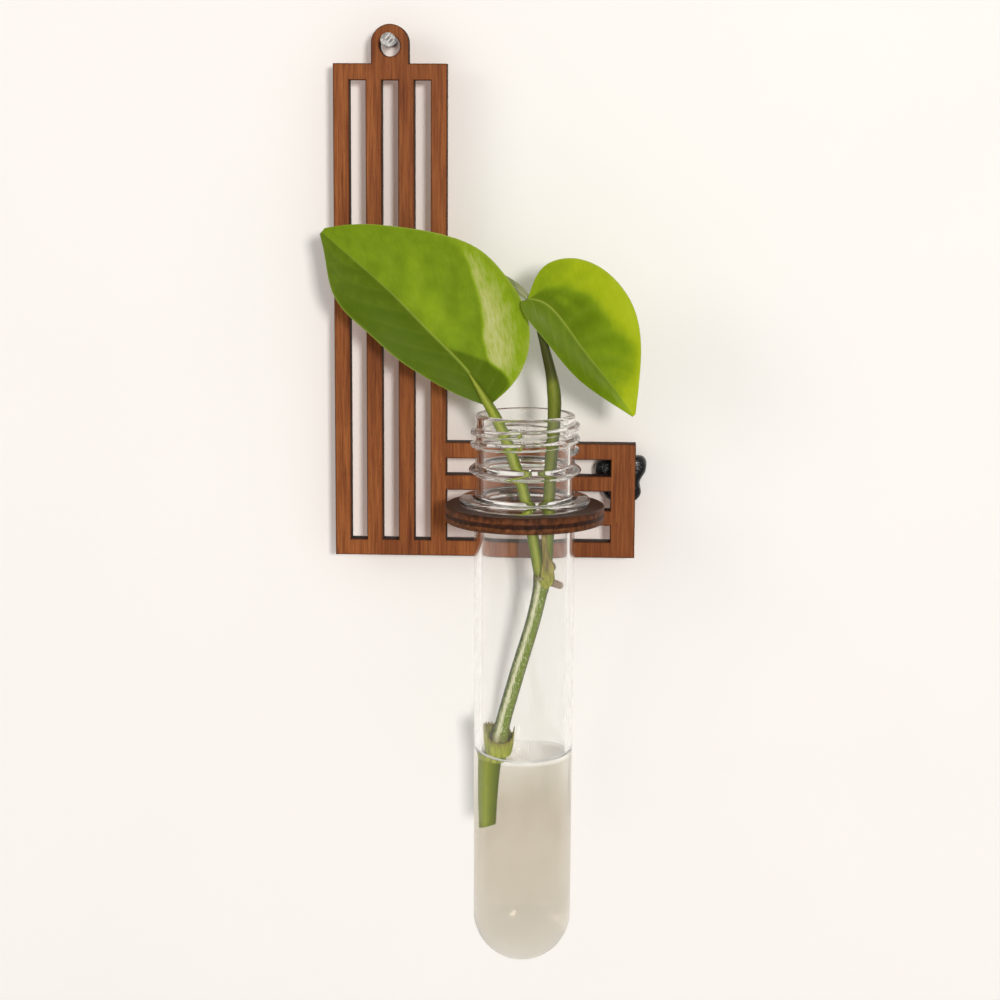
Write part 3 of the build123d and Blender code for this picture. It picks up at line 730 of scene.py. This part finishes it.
# Painted shade: the whole right stalk is a little darker, most along the neck and on its left side.
shaded = 0.3 + 0.45 * swelling(way, 0.45, 0.2)[:, None] * (0.6 - 0.4 * np.cos(ring))
right_age_and_shade = np.maximum(knee_age_and_shade[:, None], shaded)
girth = np.interp(t, [0, 0.1, 0.35, 0.62, 0.78, 0.86, 0.93, 1],
                  [1.55, 1.5, 1.42, 1.45, 1.4, 1.15, 0.75, 0.25])
left_grid = carried(STALK_LEFT, t, girth[:, None] * groove)
make_piece("right_leaf_stalk", right_grid, stalk_skin, "cutting", ["petiole_right"],
           skin_marks(right_grid, right_age_and_shade))
make_piece("left_leaf_stalk", left_grid, stalk_skin, "cutting", ["petiole_left"],
           skin_marks(left_grid))

# %% [markdown]
# A pale wing of the right stalk passes behind the left blade: a flat oval section, carried like the stalks.

# %% Pale stalk wing
WING_THICK = 0.18
WING_RUN = ((1.6, -1.9, 27.2), (0.2, -1.3, 29.2), (-2.4, 0.4, 31.2), (-5.0, 1.5, 32.6), (-7.5, 2.2, 33.6))
t = np.linspace(0, 1, 60)


def flat_oval(half_width, half_thick):
    """Radius of an ellipse at each angle of the section, for a half width that changes along the way."""
    return 1 / np.hypot(np.cos(ring) / half_width[:, None], np.sin(ring) / half_thick)


wing_half = np.interp(t, [0, 0.2, 0.5, 0.9, 1], [0.25, 0.7, 1.2, 1.5, 0.5])
wing_grid = carried(WING_RUN, t, flat_oval(wing_half, WING_THICK))
make_piece("pale_stalk_wing", wing_grid, wing_skin, "cutting", (), skin_marks(wing_grid))

# %% [markdown]
# A leaf blade is drawn by its two margins and its midrib. One parameter runs from base to tip, and the
# other goes round the thin section: a power of its cosine, which packs points close to the midrib, is the
# place between the under margin and the over margin, and the sign of its sine tells the front from the
# back. Veins sink a little.

# %% Leaf blades
LEFT_OVER = ((-9.2, 1.8), (-3.6, 6.9), (0.0, 13.3), (0.9, 21.0), (-0.7, 27.4), (-5.1, 34.3), (-11.5, 40.6),
             (-19.3, 43.9), (-32.2, 46.1), (-44.0, 46.5), (-52.3, 45.2))
LEFT_RIB = ((-9.4, 2.0), (-13.6, 9.3), (-20.6, 16.7), (-28.1, 24.0), (-33.3, 29.1), (-42.4, 37.0),
            (-52.3, 45.2))
LEFT_UNDER = ((-9.4, 1.7), (-18.4, 5.2), (-26.2, 9.5), (-33.0, 14.0), (-39.8, 20.0), (-45.2, 24.8),
              (-48.4, 29.4), (-49.9, 34.6), (-50.9, 40.0), (-52.3, 45.2))
RIGHT_OVER = ((0.4, 28.8), (1.4, 31.9), (4.2, 36.8), (10.3, 39.1), (16.6, 37.8), (23.0, 32.8), (26.8, 26.5),
              (28.4, 19.0), (28.2, 8.8), (27.3, -0.6))
RIGHT_RIB = ((0.4, 28.8), (4.0, 28.2), (8.4, 24.5), (13.7, 17.3), (20.6, 8.7), (27.3, -0.6))
RIGHT_UNDER = ((0.4, 28.6), (-1.0, 28.3), (-0.7, 26.0), (1.5, 22.6), (4.1, 19.6), (7.9, 14.9), (13.4, 9.0),
               (20.7, 3.7), (27.3, -0.6))
VEIN_DEPTH, RIB_DEPTH, HALF_THICK = 0.03, 0.22, 0.2
leaf_u = np.linspace(0.008, 0.982, 220)[:, None]
leaf_a = np.linspace(0, 2 * np.pi, 200, endpoint=False)[None, :]
leaf_v = np.sign(np.cos(leaf_a)) * np.abs(np.cos(leaf_a)) ** 1.5 + 0 * leaf_u
print("leaf grid:", leaf_v.shape)


def step(value, edge, width):
    """Smooth step from 0 to 1 around an edge: a logistic curve."""
    return 1 / (1 + np.exp(-(value - edge) / width))


def veins(count, sweep):
    """Side veins: narrow ridges where count (u - sweep |v|^1.25) is whole, fading to margin and tip."""
    phase = count * (leaf_u - sweep * np.abs(leaf_v) ** 1.25)
    off = np.abs(phase - np.round(phase))
    fade = (1 - np.abs(leaf_v) ** 3) * np.clip(8 * np.abs(leaf_v), 0, 1) * np.clip(6 * (1 - leaf_u), 0, 1)
    return np.exp(-(off / 0.1) ** 2) * fade


def leaf_surface(over, rib, under, base_y, lean, cup, vein, wave):
    """Rib + |v| (margin - rib) upright; y leans from base to tip, cups as v^2 and waves at the margin."""
    u = leaf_u[:, 0]
    middle = smooth_line(rib, u)[:, None]
    upper = smooth_line(over, u)[:, None]
    lower = smooth_line(under, u)[:, None]
    margin = np.where((leaf_v > 0)[..., None], upper, lower)
    flat = middle + np.abs(leaf_v)[..., None] * (margin - middle)
    width = np.linalg.norm(margin - middle, axis=2)
    thin = np.sign(np.sin(leaf_a)) * np.sqrt(np.abs(np.sin(leaf_a))) * HALF_THICK * (1 - 0.5 * leaf_u)
    rib_line = np.exp(-(leaf_v * width / (0.36 - 0.22 * leaf_u)) ** 2) * (1 - 0.85 * leaf_u)
    y = base_y + lean * leaf_u - cup * leaf_v ** 2 * np.sin(np.pi * leaf_u)
    y = y + wave * np.abs(leaf_v) ** 3 * np.sin(9 * leaf_u + 2 * np.sign(leaf_v)) * np.sin(np.pi * leaf_u)
    y = y + VEIN_DEPTH * vein + RIB_DEPTH * rib_line + 0.25 - thin
    return np.stack([TUBE_X + flat[..., 0], TUBE_Y + y, RIM + flat[..., 1]], -1), rib_line


left_vein = veins(8, 0.30)
right_vein = veins(7, 0.28)
left_leaf, left_rib = leaf_surface(LEFT_OVER, LEFT_RIB, LEFT_UNDER, -0.4, 5.4, 2.2, left_vein, 0.35)
right_leaf, right_rib = leaf_surface(RIGHT_OVER, RIGHT_RIB, RIGHT_UNDER, -2.9, 0.0, 1.8, right_vein, 0.3)

# %% [markdown]
# A leaf isn't one green. The left blade is dark below its midrib and lighter above it. Painted shade
# darkens the lobe at its base and a line along the lower edge of the roll; where the blade rolls over it is
# palest, a painted reflection, and a painted sheen brightens its middle. The right blade is young:
# yellow-green outside and dark along the midrib, with a pale painted sheen near its base. These tones are
# written as smooth functions of the two parameters and stored with the mesh.

# %% Tones of the leaves
u, v = leaf_u + 0 * leaf_v, leaf_v
over = step(v, 0.0, 0.006)
# Painted shade in the lobe at the base of the blade, above the midrib.
painted_lobe_shade = step(np.clip((0.30 - u) / 0.22, 0, 1) ** 1.5, v, 0.02) * over * step(0.30, u, 0.006)
roll_from = np.interp(u, [0.10, 0.16, 0.21, 0.27, 0.37, 0.47, 0.58],
                      [0.42, 0.40, 0.39, 0.42, 0.58, 0.72, 0.91])
roll_to = np.interp(u, [0.10, 0.18, 0.27, 0.365, 0.48, 0.58], [0.84, 0.83, 0.85, 0.90, 0.98, 1.04])
roll_share = (v - roll_from) / (roll_to - roll_from)
# A painted reflection: the pale band where the blade rolls over.
painted_roll_sheen = step(v, roll_from, 0.010) * step(roll_to, v, 0.05) * step(0.57, u, 0.02)
painted_roll_sheen = painted_roll_sheen * step(v, 0.3, 0.02) * (1 - painted_lobe_shade)
painted_roll_sheen = painted_roll_sheen * (0.76 + 0.32 * np.exp(-((roll_share - 0.25) / 0.25) ** 2)) * (1 - 0.25 * step(u, 0.39, 0.02))
# A painted shade line just below the lower edge of the rolled band.
painted_fold_shade = np.exp(-((v - roll_from + 0.03) / 0.03) ** 2) * step(0.50, u, 0.02) * (1 - painted_lobe_shade) * over
# A painted sheen: a brighter patch in the middle of the blade.
glow = np.exp(-((u - 0.47) / 0.13) ** 2 - ((v - 0.15 - 0.3 * (u - 0.42)) / 0.13) ** 2)
streak = np.exp(-((u - 0.62) / 0.06) ** 2 - ((v - 0.45 - 2.2 * (u - 0.62)) / 0.10) ** 2)
bands = np.sin(2 * np.pi * 8 * (u - 0.30 * np.abs(v) ** 1.25)) * (1 - v ** 2) * np.sin(np.pi * u)
left_tone = 0.18 + 0.26 * over + 0.14 * glow + 0.10 * streak + 0.40 * painted_roll_sheen - 0.24 * painted_lobe_shade
left_tone = left_tone + 0.08 * step(u, 0.75, 0.04) * (1 - over)
left_tone = left_tone + 0.20 * np.clip((v - 0.8) * 5, 0, 1) * step(0.28, u, 0.03)
left_tone = left_tone + 0.025 * bands - 0.05 * painted_fold_shade

edge = np.interp(u, [0.0, 0.1, 0.25, 0.4, 0.53, 0.7, 0.9, 1.0],
                 [0.3, 0.38, 0.51, 0.54, 0.63, 0.84, 1.1, 1.2])
young = step(v, edge + 0.03 * np.sin(20 * u), 0.022 + 0.08 * u)
# A painted sheen: a pale patch near the base, above the midrib.
sheen = np.exp(-((u - 0.24) / 0.08) ** 2 - ((v - 0.30) / 0.08) ** 2)
right_tone = 0.22 + 0.24 * step(u, 0.45, 0.06) * over + 0.50 * young + 0.16 * sheen
right_tone = right_tone + 0.10 * step(u, 0.68, 0.04) + 0.34 * step(u, 0.84, 0.03)
right_tone = right_tone - 0.16 * young * step(0.2, u, 0.04) - 0.10 * young * step(u, 0.55, 0.05)
right_tone = right_tone + 0.03 * bands
print("left leaf tones from", left_tone.min().round(2), "to", left_tone.max().round(2))
print("right leaf tones from", right_tone.min().round(2), "to", right_tone.max().round(2))

# %% [markdown]
# The leaf's skin is waxy, so it shines softly, and light passes into the flesh below. The stored tone picks
# the green, fine cells break it up, and veins, midrib and margin are drawn paler. Short streaks of grit
# shift it a little everywhere and more on the painted reflection of the roll and the painted sheen: pale
# streaks.

# %% Leaf finish
GRIT_AND_SHEEN_STREAK = (0.55, 0.55, 2.6)
GRIT_AND_SHEEN_LEAN = (0.0, -0.27, 0.0)
CELL = (3.5, 3.5, 3.5)


def leaf_finish(name, greens, vein_green):
    """Waxy leaf: a ramp of greens by stored tone, broken up by noise, with paler veins, rib and margin."""
    made, tree, shader = new_finish(name, Specular_IOR_Level=0.11, Specular_Tint=colour("#EEF6C4"))
    place = add(tree, "TexCoord").outputs["Object"]
    tone = add(tree, "Attribute", attribute_name="tone")
    pale = add(tree, "Attribute", attribute_name="pale")
    cell_map = add(tree, "Mapping", {"Scale": per_mm(*CELL)}, {"Vector": place})
    cells = add(tree, "TexNoise", {"Scale": 1.0, "Detail": 6.0, "Roughness": 0.55}, {"Vector": cell_map})
    grit_map = add(tree, "Mapping", {"Scale": tuple(MM * size for size in GRIT_AND_SHEEN_STREAK),
                                     "Rotation": GRIT_AND_SHEEN_LEAN}, {"Vector": place}, vector_type="TEXTURE")
    grit = add(tree, "TexNoise", {"Scale": 1.0, "Detail": 3.0}, {"Vector": grit_map})
    shift = add(tree, "MapRange", {**NOISE_SPAN, "To Min": -0.05, "To Max": 0.05}, {"Value": cells})
    fine = add(tree, "MapRange", {**NOISE_SPAN, "To Min": -0.11, "To Max": 0.11}, {"Value": grit})
    # Streaky grit shifts the tone; it is stronger where painted sheen and painted reflection are stored.
    grit_and_sheen = add(tree, "Attribute", attribute_name="grit_and_sheen")
    speckle = add(tree, "Math", links={0: fine, 1: grit_and_sheen.outputs["Fac"]}, operation="MULTIPLY")
    both = add(tree, "Math", links={0: shift, 1: speckle})
    mottled = add(tree, "Math", links={0: tone.outputs["Fac"], 1: both})
    green = add(tree, "ValToRGB", links={"Fac": mottled}, stops=greens)
    lined = add(tree, "MixRGB", {"Color2": colour(vein_green)},
                {"Fac": pale.outputs["Fac"], "Color1": green})
    rough = add(tree, "MapRange", {**NOISE_SPAN, "To Min": 0.32, "To Max": 0.46}, {"Value": cells})
    bump = add(tree, "Bump", {"Strength": 0.25, "Distance": 0.1 * MM}, {"Height": grit})
    wire(tree, shader, {"Base Color": lined, "Roughness": rough, "Normal": bump})
    return made


def leaf_marks(tone, vein, rib, grit_and_sheen):
    """Tone, paleness, and grit with painted sheen of each point: veins, midrib and the very margin are
    pale.
    """
    pale = 0.05 * vein + 0.75 * rib + 0.7 * np.abs(leaf_v) ** 70
    return {"tone": tone, "pale": pale, "grit_and_sheen": 0.2 + 0.8 * grit_and_sheen}


old_leaf = leaf_finish("waxy grown leaf", ((0.0, "#465E06"), (1.0, "#C0C88A"), (0.22, "#53690B"),
                                           (0.44, "#748E18"), (0.60, "#88A31C"), (0.82, "#B4BA66")),
                       "#A6B64A")
young_leaf = leaf_finish("waxy young leaf", ((0.0, "#4E6408"), (1.0, "#B4C42A"), (0.24, "#5E7609"),
                                             (0.50, "#769112"), (0.75, "#A2B418")), "#A2B248")
make_piece("left_leaf_blade", left_leaf, old_leaf, "cutting", ["leaf_left"],
           leaf_marks(left_tone, left_vein, left_rib, painted_roll_sheen))
make_piece("right_leaf_blade", right_leaf, young_leaf, "cutting", ["leaf_right"],
           leaf_marks(right_tone, right_vein, right_rib, sheen))

# %% [markdown]
# Old leaf sheaths dry out round the nodes. The one at the lower node is a torn cone that leans on the
# tube's wall: a circle at its foot, an ellipse at its mouth, and a ragged edge from a few waves. The wall
# is a closed loop that goes up outside, over the torn edge and down inside.

# %% Dry sheath at the lower node
SHEATH_FOOT = RIM_MID + (-6.25, -1.0, -89.0)
SHEATH_MOUTH = RIM_MID + (-5.95, -1.0, -79.5)
FOOT_R, MOUTH_RX, MOUTH_RY, SKIN, SKIN_IN = 2.95, 4.35, 3.2, 0.28, 0.3
TORN_AT = (0, 18, 45, 90, 120, 150, 185, 205, 222, 245, 275, 310, 335, 348, 360)
TORN_TOP = (0.88, 0.66, 0.72, 0.85, 0.92, 0.96, 0.97, 0.92, 0.66, 0.58, 0.50, 0.52, 0.60, 0.86, 0.88)


def sheath_surface(rows=120, cols=44):
    """From a foot circle to a mouth ellipse, share s of the way; the wall's loop folds over a torn top."""
    a = np.linspace(0, 2 * np.pi, rows, endpoint=False)[:, None]
    loop = np.linspace(0, 2 * np.pi, cols, endpoint=False)[None, :]
    torn = np.interp(np.degrees(a), TORN_AT, TORN_TOP)
    torn = torn + 0.03 * np.cos(23 * a) + 0.025 * np.cos(37 * a + 1.0)
    up = 0.5 - 0.5 * np.cos(loop)
    s = up * np.clip(torn, 0.2, 1.0)
    half = SKIN * np.sin(loop) - SKIN_IN
    r_x = FOOT_R + (MOUTH_RX - FOOT_R) * s ** 0.7 + half
    r_y = FOOT_R + (MOUTH_RY - FOOT_R) * s + half
    middle = SHEATH_FOOT + s[..., None] * (SHEATH_MOUTH - SHEATH_FOOT)
    crumple = 1 + 0.05 * np.cos(5 * a + 4 * s) * s
    across = np.stack([r_x * crumple * np.cos(a), r_y * crumple * np.sin(a), 0 * s], -1)
    return middle + across, np.broadcast_to(up ** 4.5, s.shape)


FIBRE = (0.6, 0.6, 3.0)
dry_sheath, tree, shader = new_finish("drying leaf sheath", Roughness=0.55, Specular_IOR_Level=0.3)
place = add(tree, "TexCoord").outputs["Object"]
fibre_map = add(tree, "Mapping", {"Scale": per_mm(*FIBRE)}, {"Vector": place})
fibre = add(tree, "TexNoise", {"Scale": 1.0, "Detail": 5.0}, {"Vector": fibre_map})
husk = add(tree, "ValToRGB", links={"Fac": fibre},
           stops=((0.30, "#76780C"), (0.72, "#B8BA48"), (0.48, "#96A01E")))
dead = add(tree, "ValToRGB", links={"Fac": fibre}, stops=((0.35, "#5C4A1C"), (0.65, "#9A8A3C")))
torn_edge = add(tree, "Attribute", attribute_name="torn")
brown = add(tree, "MixRGB", links={"Fac": torn_edge.outputs["Fac"], "Color1": husk, "Color2": dead})
bump = add(tree, "Bump", {"Strength": 0.6, "Distance": 0.2 * MM}, {"Height": fibre})
wire(tree, shader, {"Base Color": brown, "Normal": bump})
sheath, torn = sheath_surface()
make_piece("torn_node_sheath", sheath, dry_sheath, "cutting", ["node_sheath"], {"torn": torn},
           fans=False)

# %% [markdown]
# At the upper node a short aerial root sticks out to the right: a tan stub with a rounded end and fine
# rings.

# %% Aerial root
ROOT_FROM = np.array([5.6, -1.0, -42.2])
ROOT_WAY = 4.55 * np.array([0.92, -0.1, -0.32])
ROOT_R = 0.95
t = np.linspace(0, 1, 60)
girth = ROOT_R * np.sqrt(np.clip(1 - np.clip((t - 0.8) / 0.2, 0, 1) ** 2, 0.001, 1)) * (1.08 - 0.15 * t)
girth = girth * (1 + 0.03 * np.sin(60 * t))
root_line = ROOT_FROM + np.array([0.0, 0.4, 0.8, 1.0])[:, None] * ROOT_WAY
root_grid = carried(root_line, t, girth[:, None] * (1 + 0.03 * np.cos(4 * ring)))

BARK = (0.5, 0.8, 0.8)
root_bark, tree, shader = new_finish("tan aerial root", Roughness=0.65)
place = add(tree, "TexCoord").outputs["Object"]
bark_map = add(tree, "Mapping", {"Scale": per_mm(*BARK)}, {"Vector": place})
bark = add(tree, "TexNoise", {"Scale": 1.0, "Detail": 4.0}, {"Vector": bark_map})
tan = add(tree, "ValToRGB", links={"Fac": bark}, stops=((0.3, "#75604A"), (0.7, "#B89C82")))
wire(tree, shader, {"Base Color": tan})
make_piece("aerial_root_stub", root_grid, root_bark, "cutting", ["aerial_root"])

# %% [markdown]
# Between the two stalks a dry brown strip of the old bud scale stands up from the node, and a drop of water
# clings to it. The strip is a flat oval section carried along a curling line. The drop is a turned profile,
# fuller below.

# %% Bud scale and clinging drop
SCALE_THICK = 0.16
SCALE_RUN = ((5.2, -3.2, -43.8), (5.7, -3.4, -40.5), (5.6, -3.2, -36.5), (4.9, -2.9, -31.5),
             (4.9, -2.6, -28.5))
t = np.linspace(0, 1, 80)
half_width = np.interp(t, [0, 0.1, 0.2, 0.45, 0.6, 0.9, 1], [0.6, 1.8, 1.9, 1.1, 0.75, 0.6, 0.1])
scale_grid = carried(SCALE_RUN, t, flat_oval(half_width, SCALE_THICK))
make_piece("dry_bud_scale", scale_grid, dry_sheath, "cutting", (),
           {"torn": np.interp(t, [0.1, 0.4], [0.35, 1.0])[:, None]})

DROP_AT = RIM_MID + (6.6, -3.9, -38.0)
DROP_R, DROP_H, DROP_SAG = 1.15, 1.4, 0.18
swing = np.linspace(0.04, np.pi - 0.04, 32)[:, None]
wide = DROP_R * np.sin(swing) * (1 - DROP_SAG * np.cos(swing))
drop_grid = np.stack([wide * np.cos(ring), wide * np.sin(ring), DROP_H * np.cos(swing) + 0 * ring], -1)
drop_grid = drop_grid + DROP_AT
drop_piece = make_piece("clinging_drop", drop_grid, tap_water, "cutting", (), {"film": 1.0})
let_light_through(drop_piece)

# %% [markdown]
# The wall behind is plain and pale. It is one-sided, so the views from behind look through it, and it takes
# the object's shadow without shading the object's back. A pale floor lies well below, and most of its white
# is a glow.

# %% Wall and floor


def stage_sheet(name, corners, code, glow):
    """A plain one-sided sheet of the room: matt with some glow in front, see-through from behind."""
    finish, tree, shader = new_finish(name + " paint", Roughness=0.9, Specular_IOR_Level=0.0,
                                      Emission_Color=colour("#FFFAF5"), Emission_Strength=glow)
    place = add(tree, "TexCoord").outputs["Object"]
    mottle = add(tree, "TexNoise", {"Scale": 14.0, "Detail": 4.0}, {"Vector": place})
    patchy = add(tree, "MapRange", {"To Min": 0.98, "To Max": 1.02}, {"Value": mottle})
    paint = add(tree, "VectorMath", {0: colour(code)[:3]}, {"Scale": patchy}, operation="SCALE")
    side = add(tree, "NewGeometry")
    clear = add(tree, "BsdfTransparent")
    wire(tree, shader, {"Base Color": paint})
    one_sided = add(tree, "MixShader", links={0: side.outputs["Backfacing"], 1: shader, 2: clear})
    wire(tree, tree.nodes["Material Output"], {"Surface": one_sided})
    mesh = bpy.data.meshes.new(name)
    mesh.from_pydata(corners, [], [(0, 1, 2, 3)])
    mesh.materials.append(finish)
    sheet = bpy.data.objects.new(name, mesh)
    bpy.context.scene.collection.objects.link(sheet)
    sheet.visible_diffuse = False
    sheet.visible_shadow = False
    print(name, "with corners at", corners[0], "and", corners[2])
    return sheet


WALL_Y, FLOOR_Z, ROOM = 0.0001, -0.62, 3.0
stage_sheet("pale_wall", [(-ROOM, WALL_Y, FLOOR_Z), (ROOM, WALL_Y, FLOOR_Z), (ROOM, WALL_Y, ROOM),
                          (-ROOM, WALL_Y, ROOM)], "#FDFAF7", 0.03)
floor = stage_sheet("pale_floor", [(-ROOM, -ROOM, FLOOR_Z), (ROOM, -ROOM, FLOOR_Z), (ROOM, WALL_Y, FLOOR_Z),
                                   (-ROOM, WALL_Y, FLOOR_Z)], "#7C7876", 0.78)
floor.visible_glossy = False

# %% [markdown]
# One soft lamp stands in front, a little to the right, and a weaker one to the left, as a window would. A
# third one lights the back through the one-sided wall. The sky around gives the rest, at a level at which a
# colour renders about as it is written. Clear pieces see that sky as white, and so do shiny ones, except
# straight in front, where the room behind the viewer is dim. Light that is caught between the tube's walls
# and the water bends many times before it gets out, so paths may be long.

# %% Light
SKY_LEVEL, DIM_ROOM, CLEAR_BENDS = 0.48, 0.15, 40
LAMP_AIM = np.array([0.03, -0.02, -0.11])
world = bpy.data.worlds.new("pale room")
bpy.context.scene.world = world
world.use_nodes = True
tree = world.node_tree
sky = tree.nodes["Background"]
sky.inputs["Color"].default_value = colour("#FFFDFA")
sky.inputs["Strength"].default_value = SKY_LEVEL
white = add(tree, "Background", {"Color": colour("#FFFCF8"), "Strength": 1.0})
way = add(tree, "TexCoord")
ahead = add(tree, "SeparateXYZ", links={"Vector": way.outputs["Generated"]})
dimmed = add(tree, "MapRange", {"From Min": -0.95, "From Max": 0.2, "To Min": DIM_ROOM, "To Max": 1.0},
             {"Value": ahead.outputs["Y"]})
mirrored = add(tree, "Background", {"Color": colour("#FFFCF8")}, {"Strength": dimmed})
path = add(tree, "LightPath")
seen = add(tree, "Math", links={0: path.outputs["Is Camera Ray"], 1: path.outputs["Is Transmission Ray"]},
           operation="MAXIMUM")
plain = add(tree, "MixShader", links={0: seen, 1: sky, 2: white})
all_rays = add(tree, "MixShader", links={0: path.outputs["Is Glossy Ray"], 1: plain, 2: mirrored})
wire(tree, tree.nodes["World Output"], {"Surface": all_rays})
for kind in ("max", "transmission", "glossy"):
    setattr(bpy.context.scene.cycles, kind + "_bounces", CLEAR_BENDS)


def stand(thing, side, up, back, place):
    """Stands a lamp or a camera at a place, with its X along side, its Y along up and its Z along back."""
    bpy.context.scene.collection.objects.link(thing)
    turn = np.eye(4)
    turn[:3, :3] = np.stack([side, up, back], -1)
    turn[:3, 3] = place
    thing.matrix_world = Matrix(turn.tolist())


def soft_lamp(name, place, power, size):
    """A square area lamp that looks at the middle of the vase."""
    lamp = bpy.data.lights.new(name, "AREA")
    lamp.energy = power
    lamp.size = size
    lamp.color = colour("#FFFCF7")[:3]
    way = LAMP_AIM - np.array(place)
    back = -way / np.linalg.norm(way)
    side = np.cross((0.0, 0.0, 1.0), back)
    side /= np.linalg.norm(side)
    stand(bpy.data.objects.new(name, lamp), side, np.cross(back, side), back, place)


soft_lamp("front light", (0.37, -1.40, 0.16), 9.6, 0.18)
soft_lamp("window light", (-1.2, -1.0, 0.4), 3.6, 0.7)
soft_lamp("back light", (0.5, 1.3, 0.4), 10.0, 0.7)
print("lamps placed")

# %% [markdown]
# The camera looks from the front, from a little above the neck. Its direction is built from a turn to the
# left, a tilt down and a slight roll.

# %% Camera
CAMERA_AT = (0.05089, -0.55246, -0.01970)
YAW, PITCH_DOWN, ROLL = np.radians([2.377, 8.959, 0.320])
LENS, SHIFT_Y = 76.38, -0.045
ahead = np.array([-np.sin(YAW) * np.cos(PITCH_DOWN), np.cos(YAW) * np.cos(PITCH_DOWN), -np.sin(PITCH_DOWN)])
level_side = np.array([np.cos(YAW), np.sin(YAW), 0.0])
level_up = np.cross(level_side, ahead)
side = np.cos(ROLL) * level_side + np.sin(ROLL) * level_up
up = np.cos(ROLL) * level_up - np.sin(ROLL) * level_side
eye = bpy.data.cameras.new("front view")
eye.lens = LENS
eye.sensor_width = 36.0
eye.sensor_fit = "HORIZONTAL"
eye.shift_y = SHIFT_Y
eye.clip_start = 0.01
camera = bpy.data.objects.new("front view", eye)
stand(camera, side, up, -ahead, CAMERA_AT)
bpy.context.scene.camera = camera
bpy.context.scene.view_settings.view_transform = "Standard"
print("camera at", CAMERA_AT)
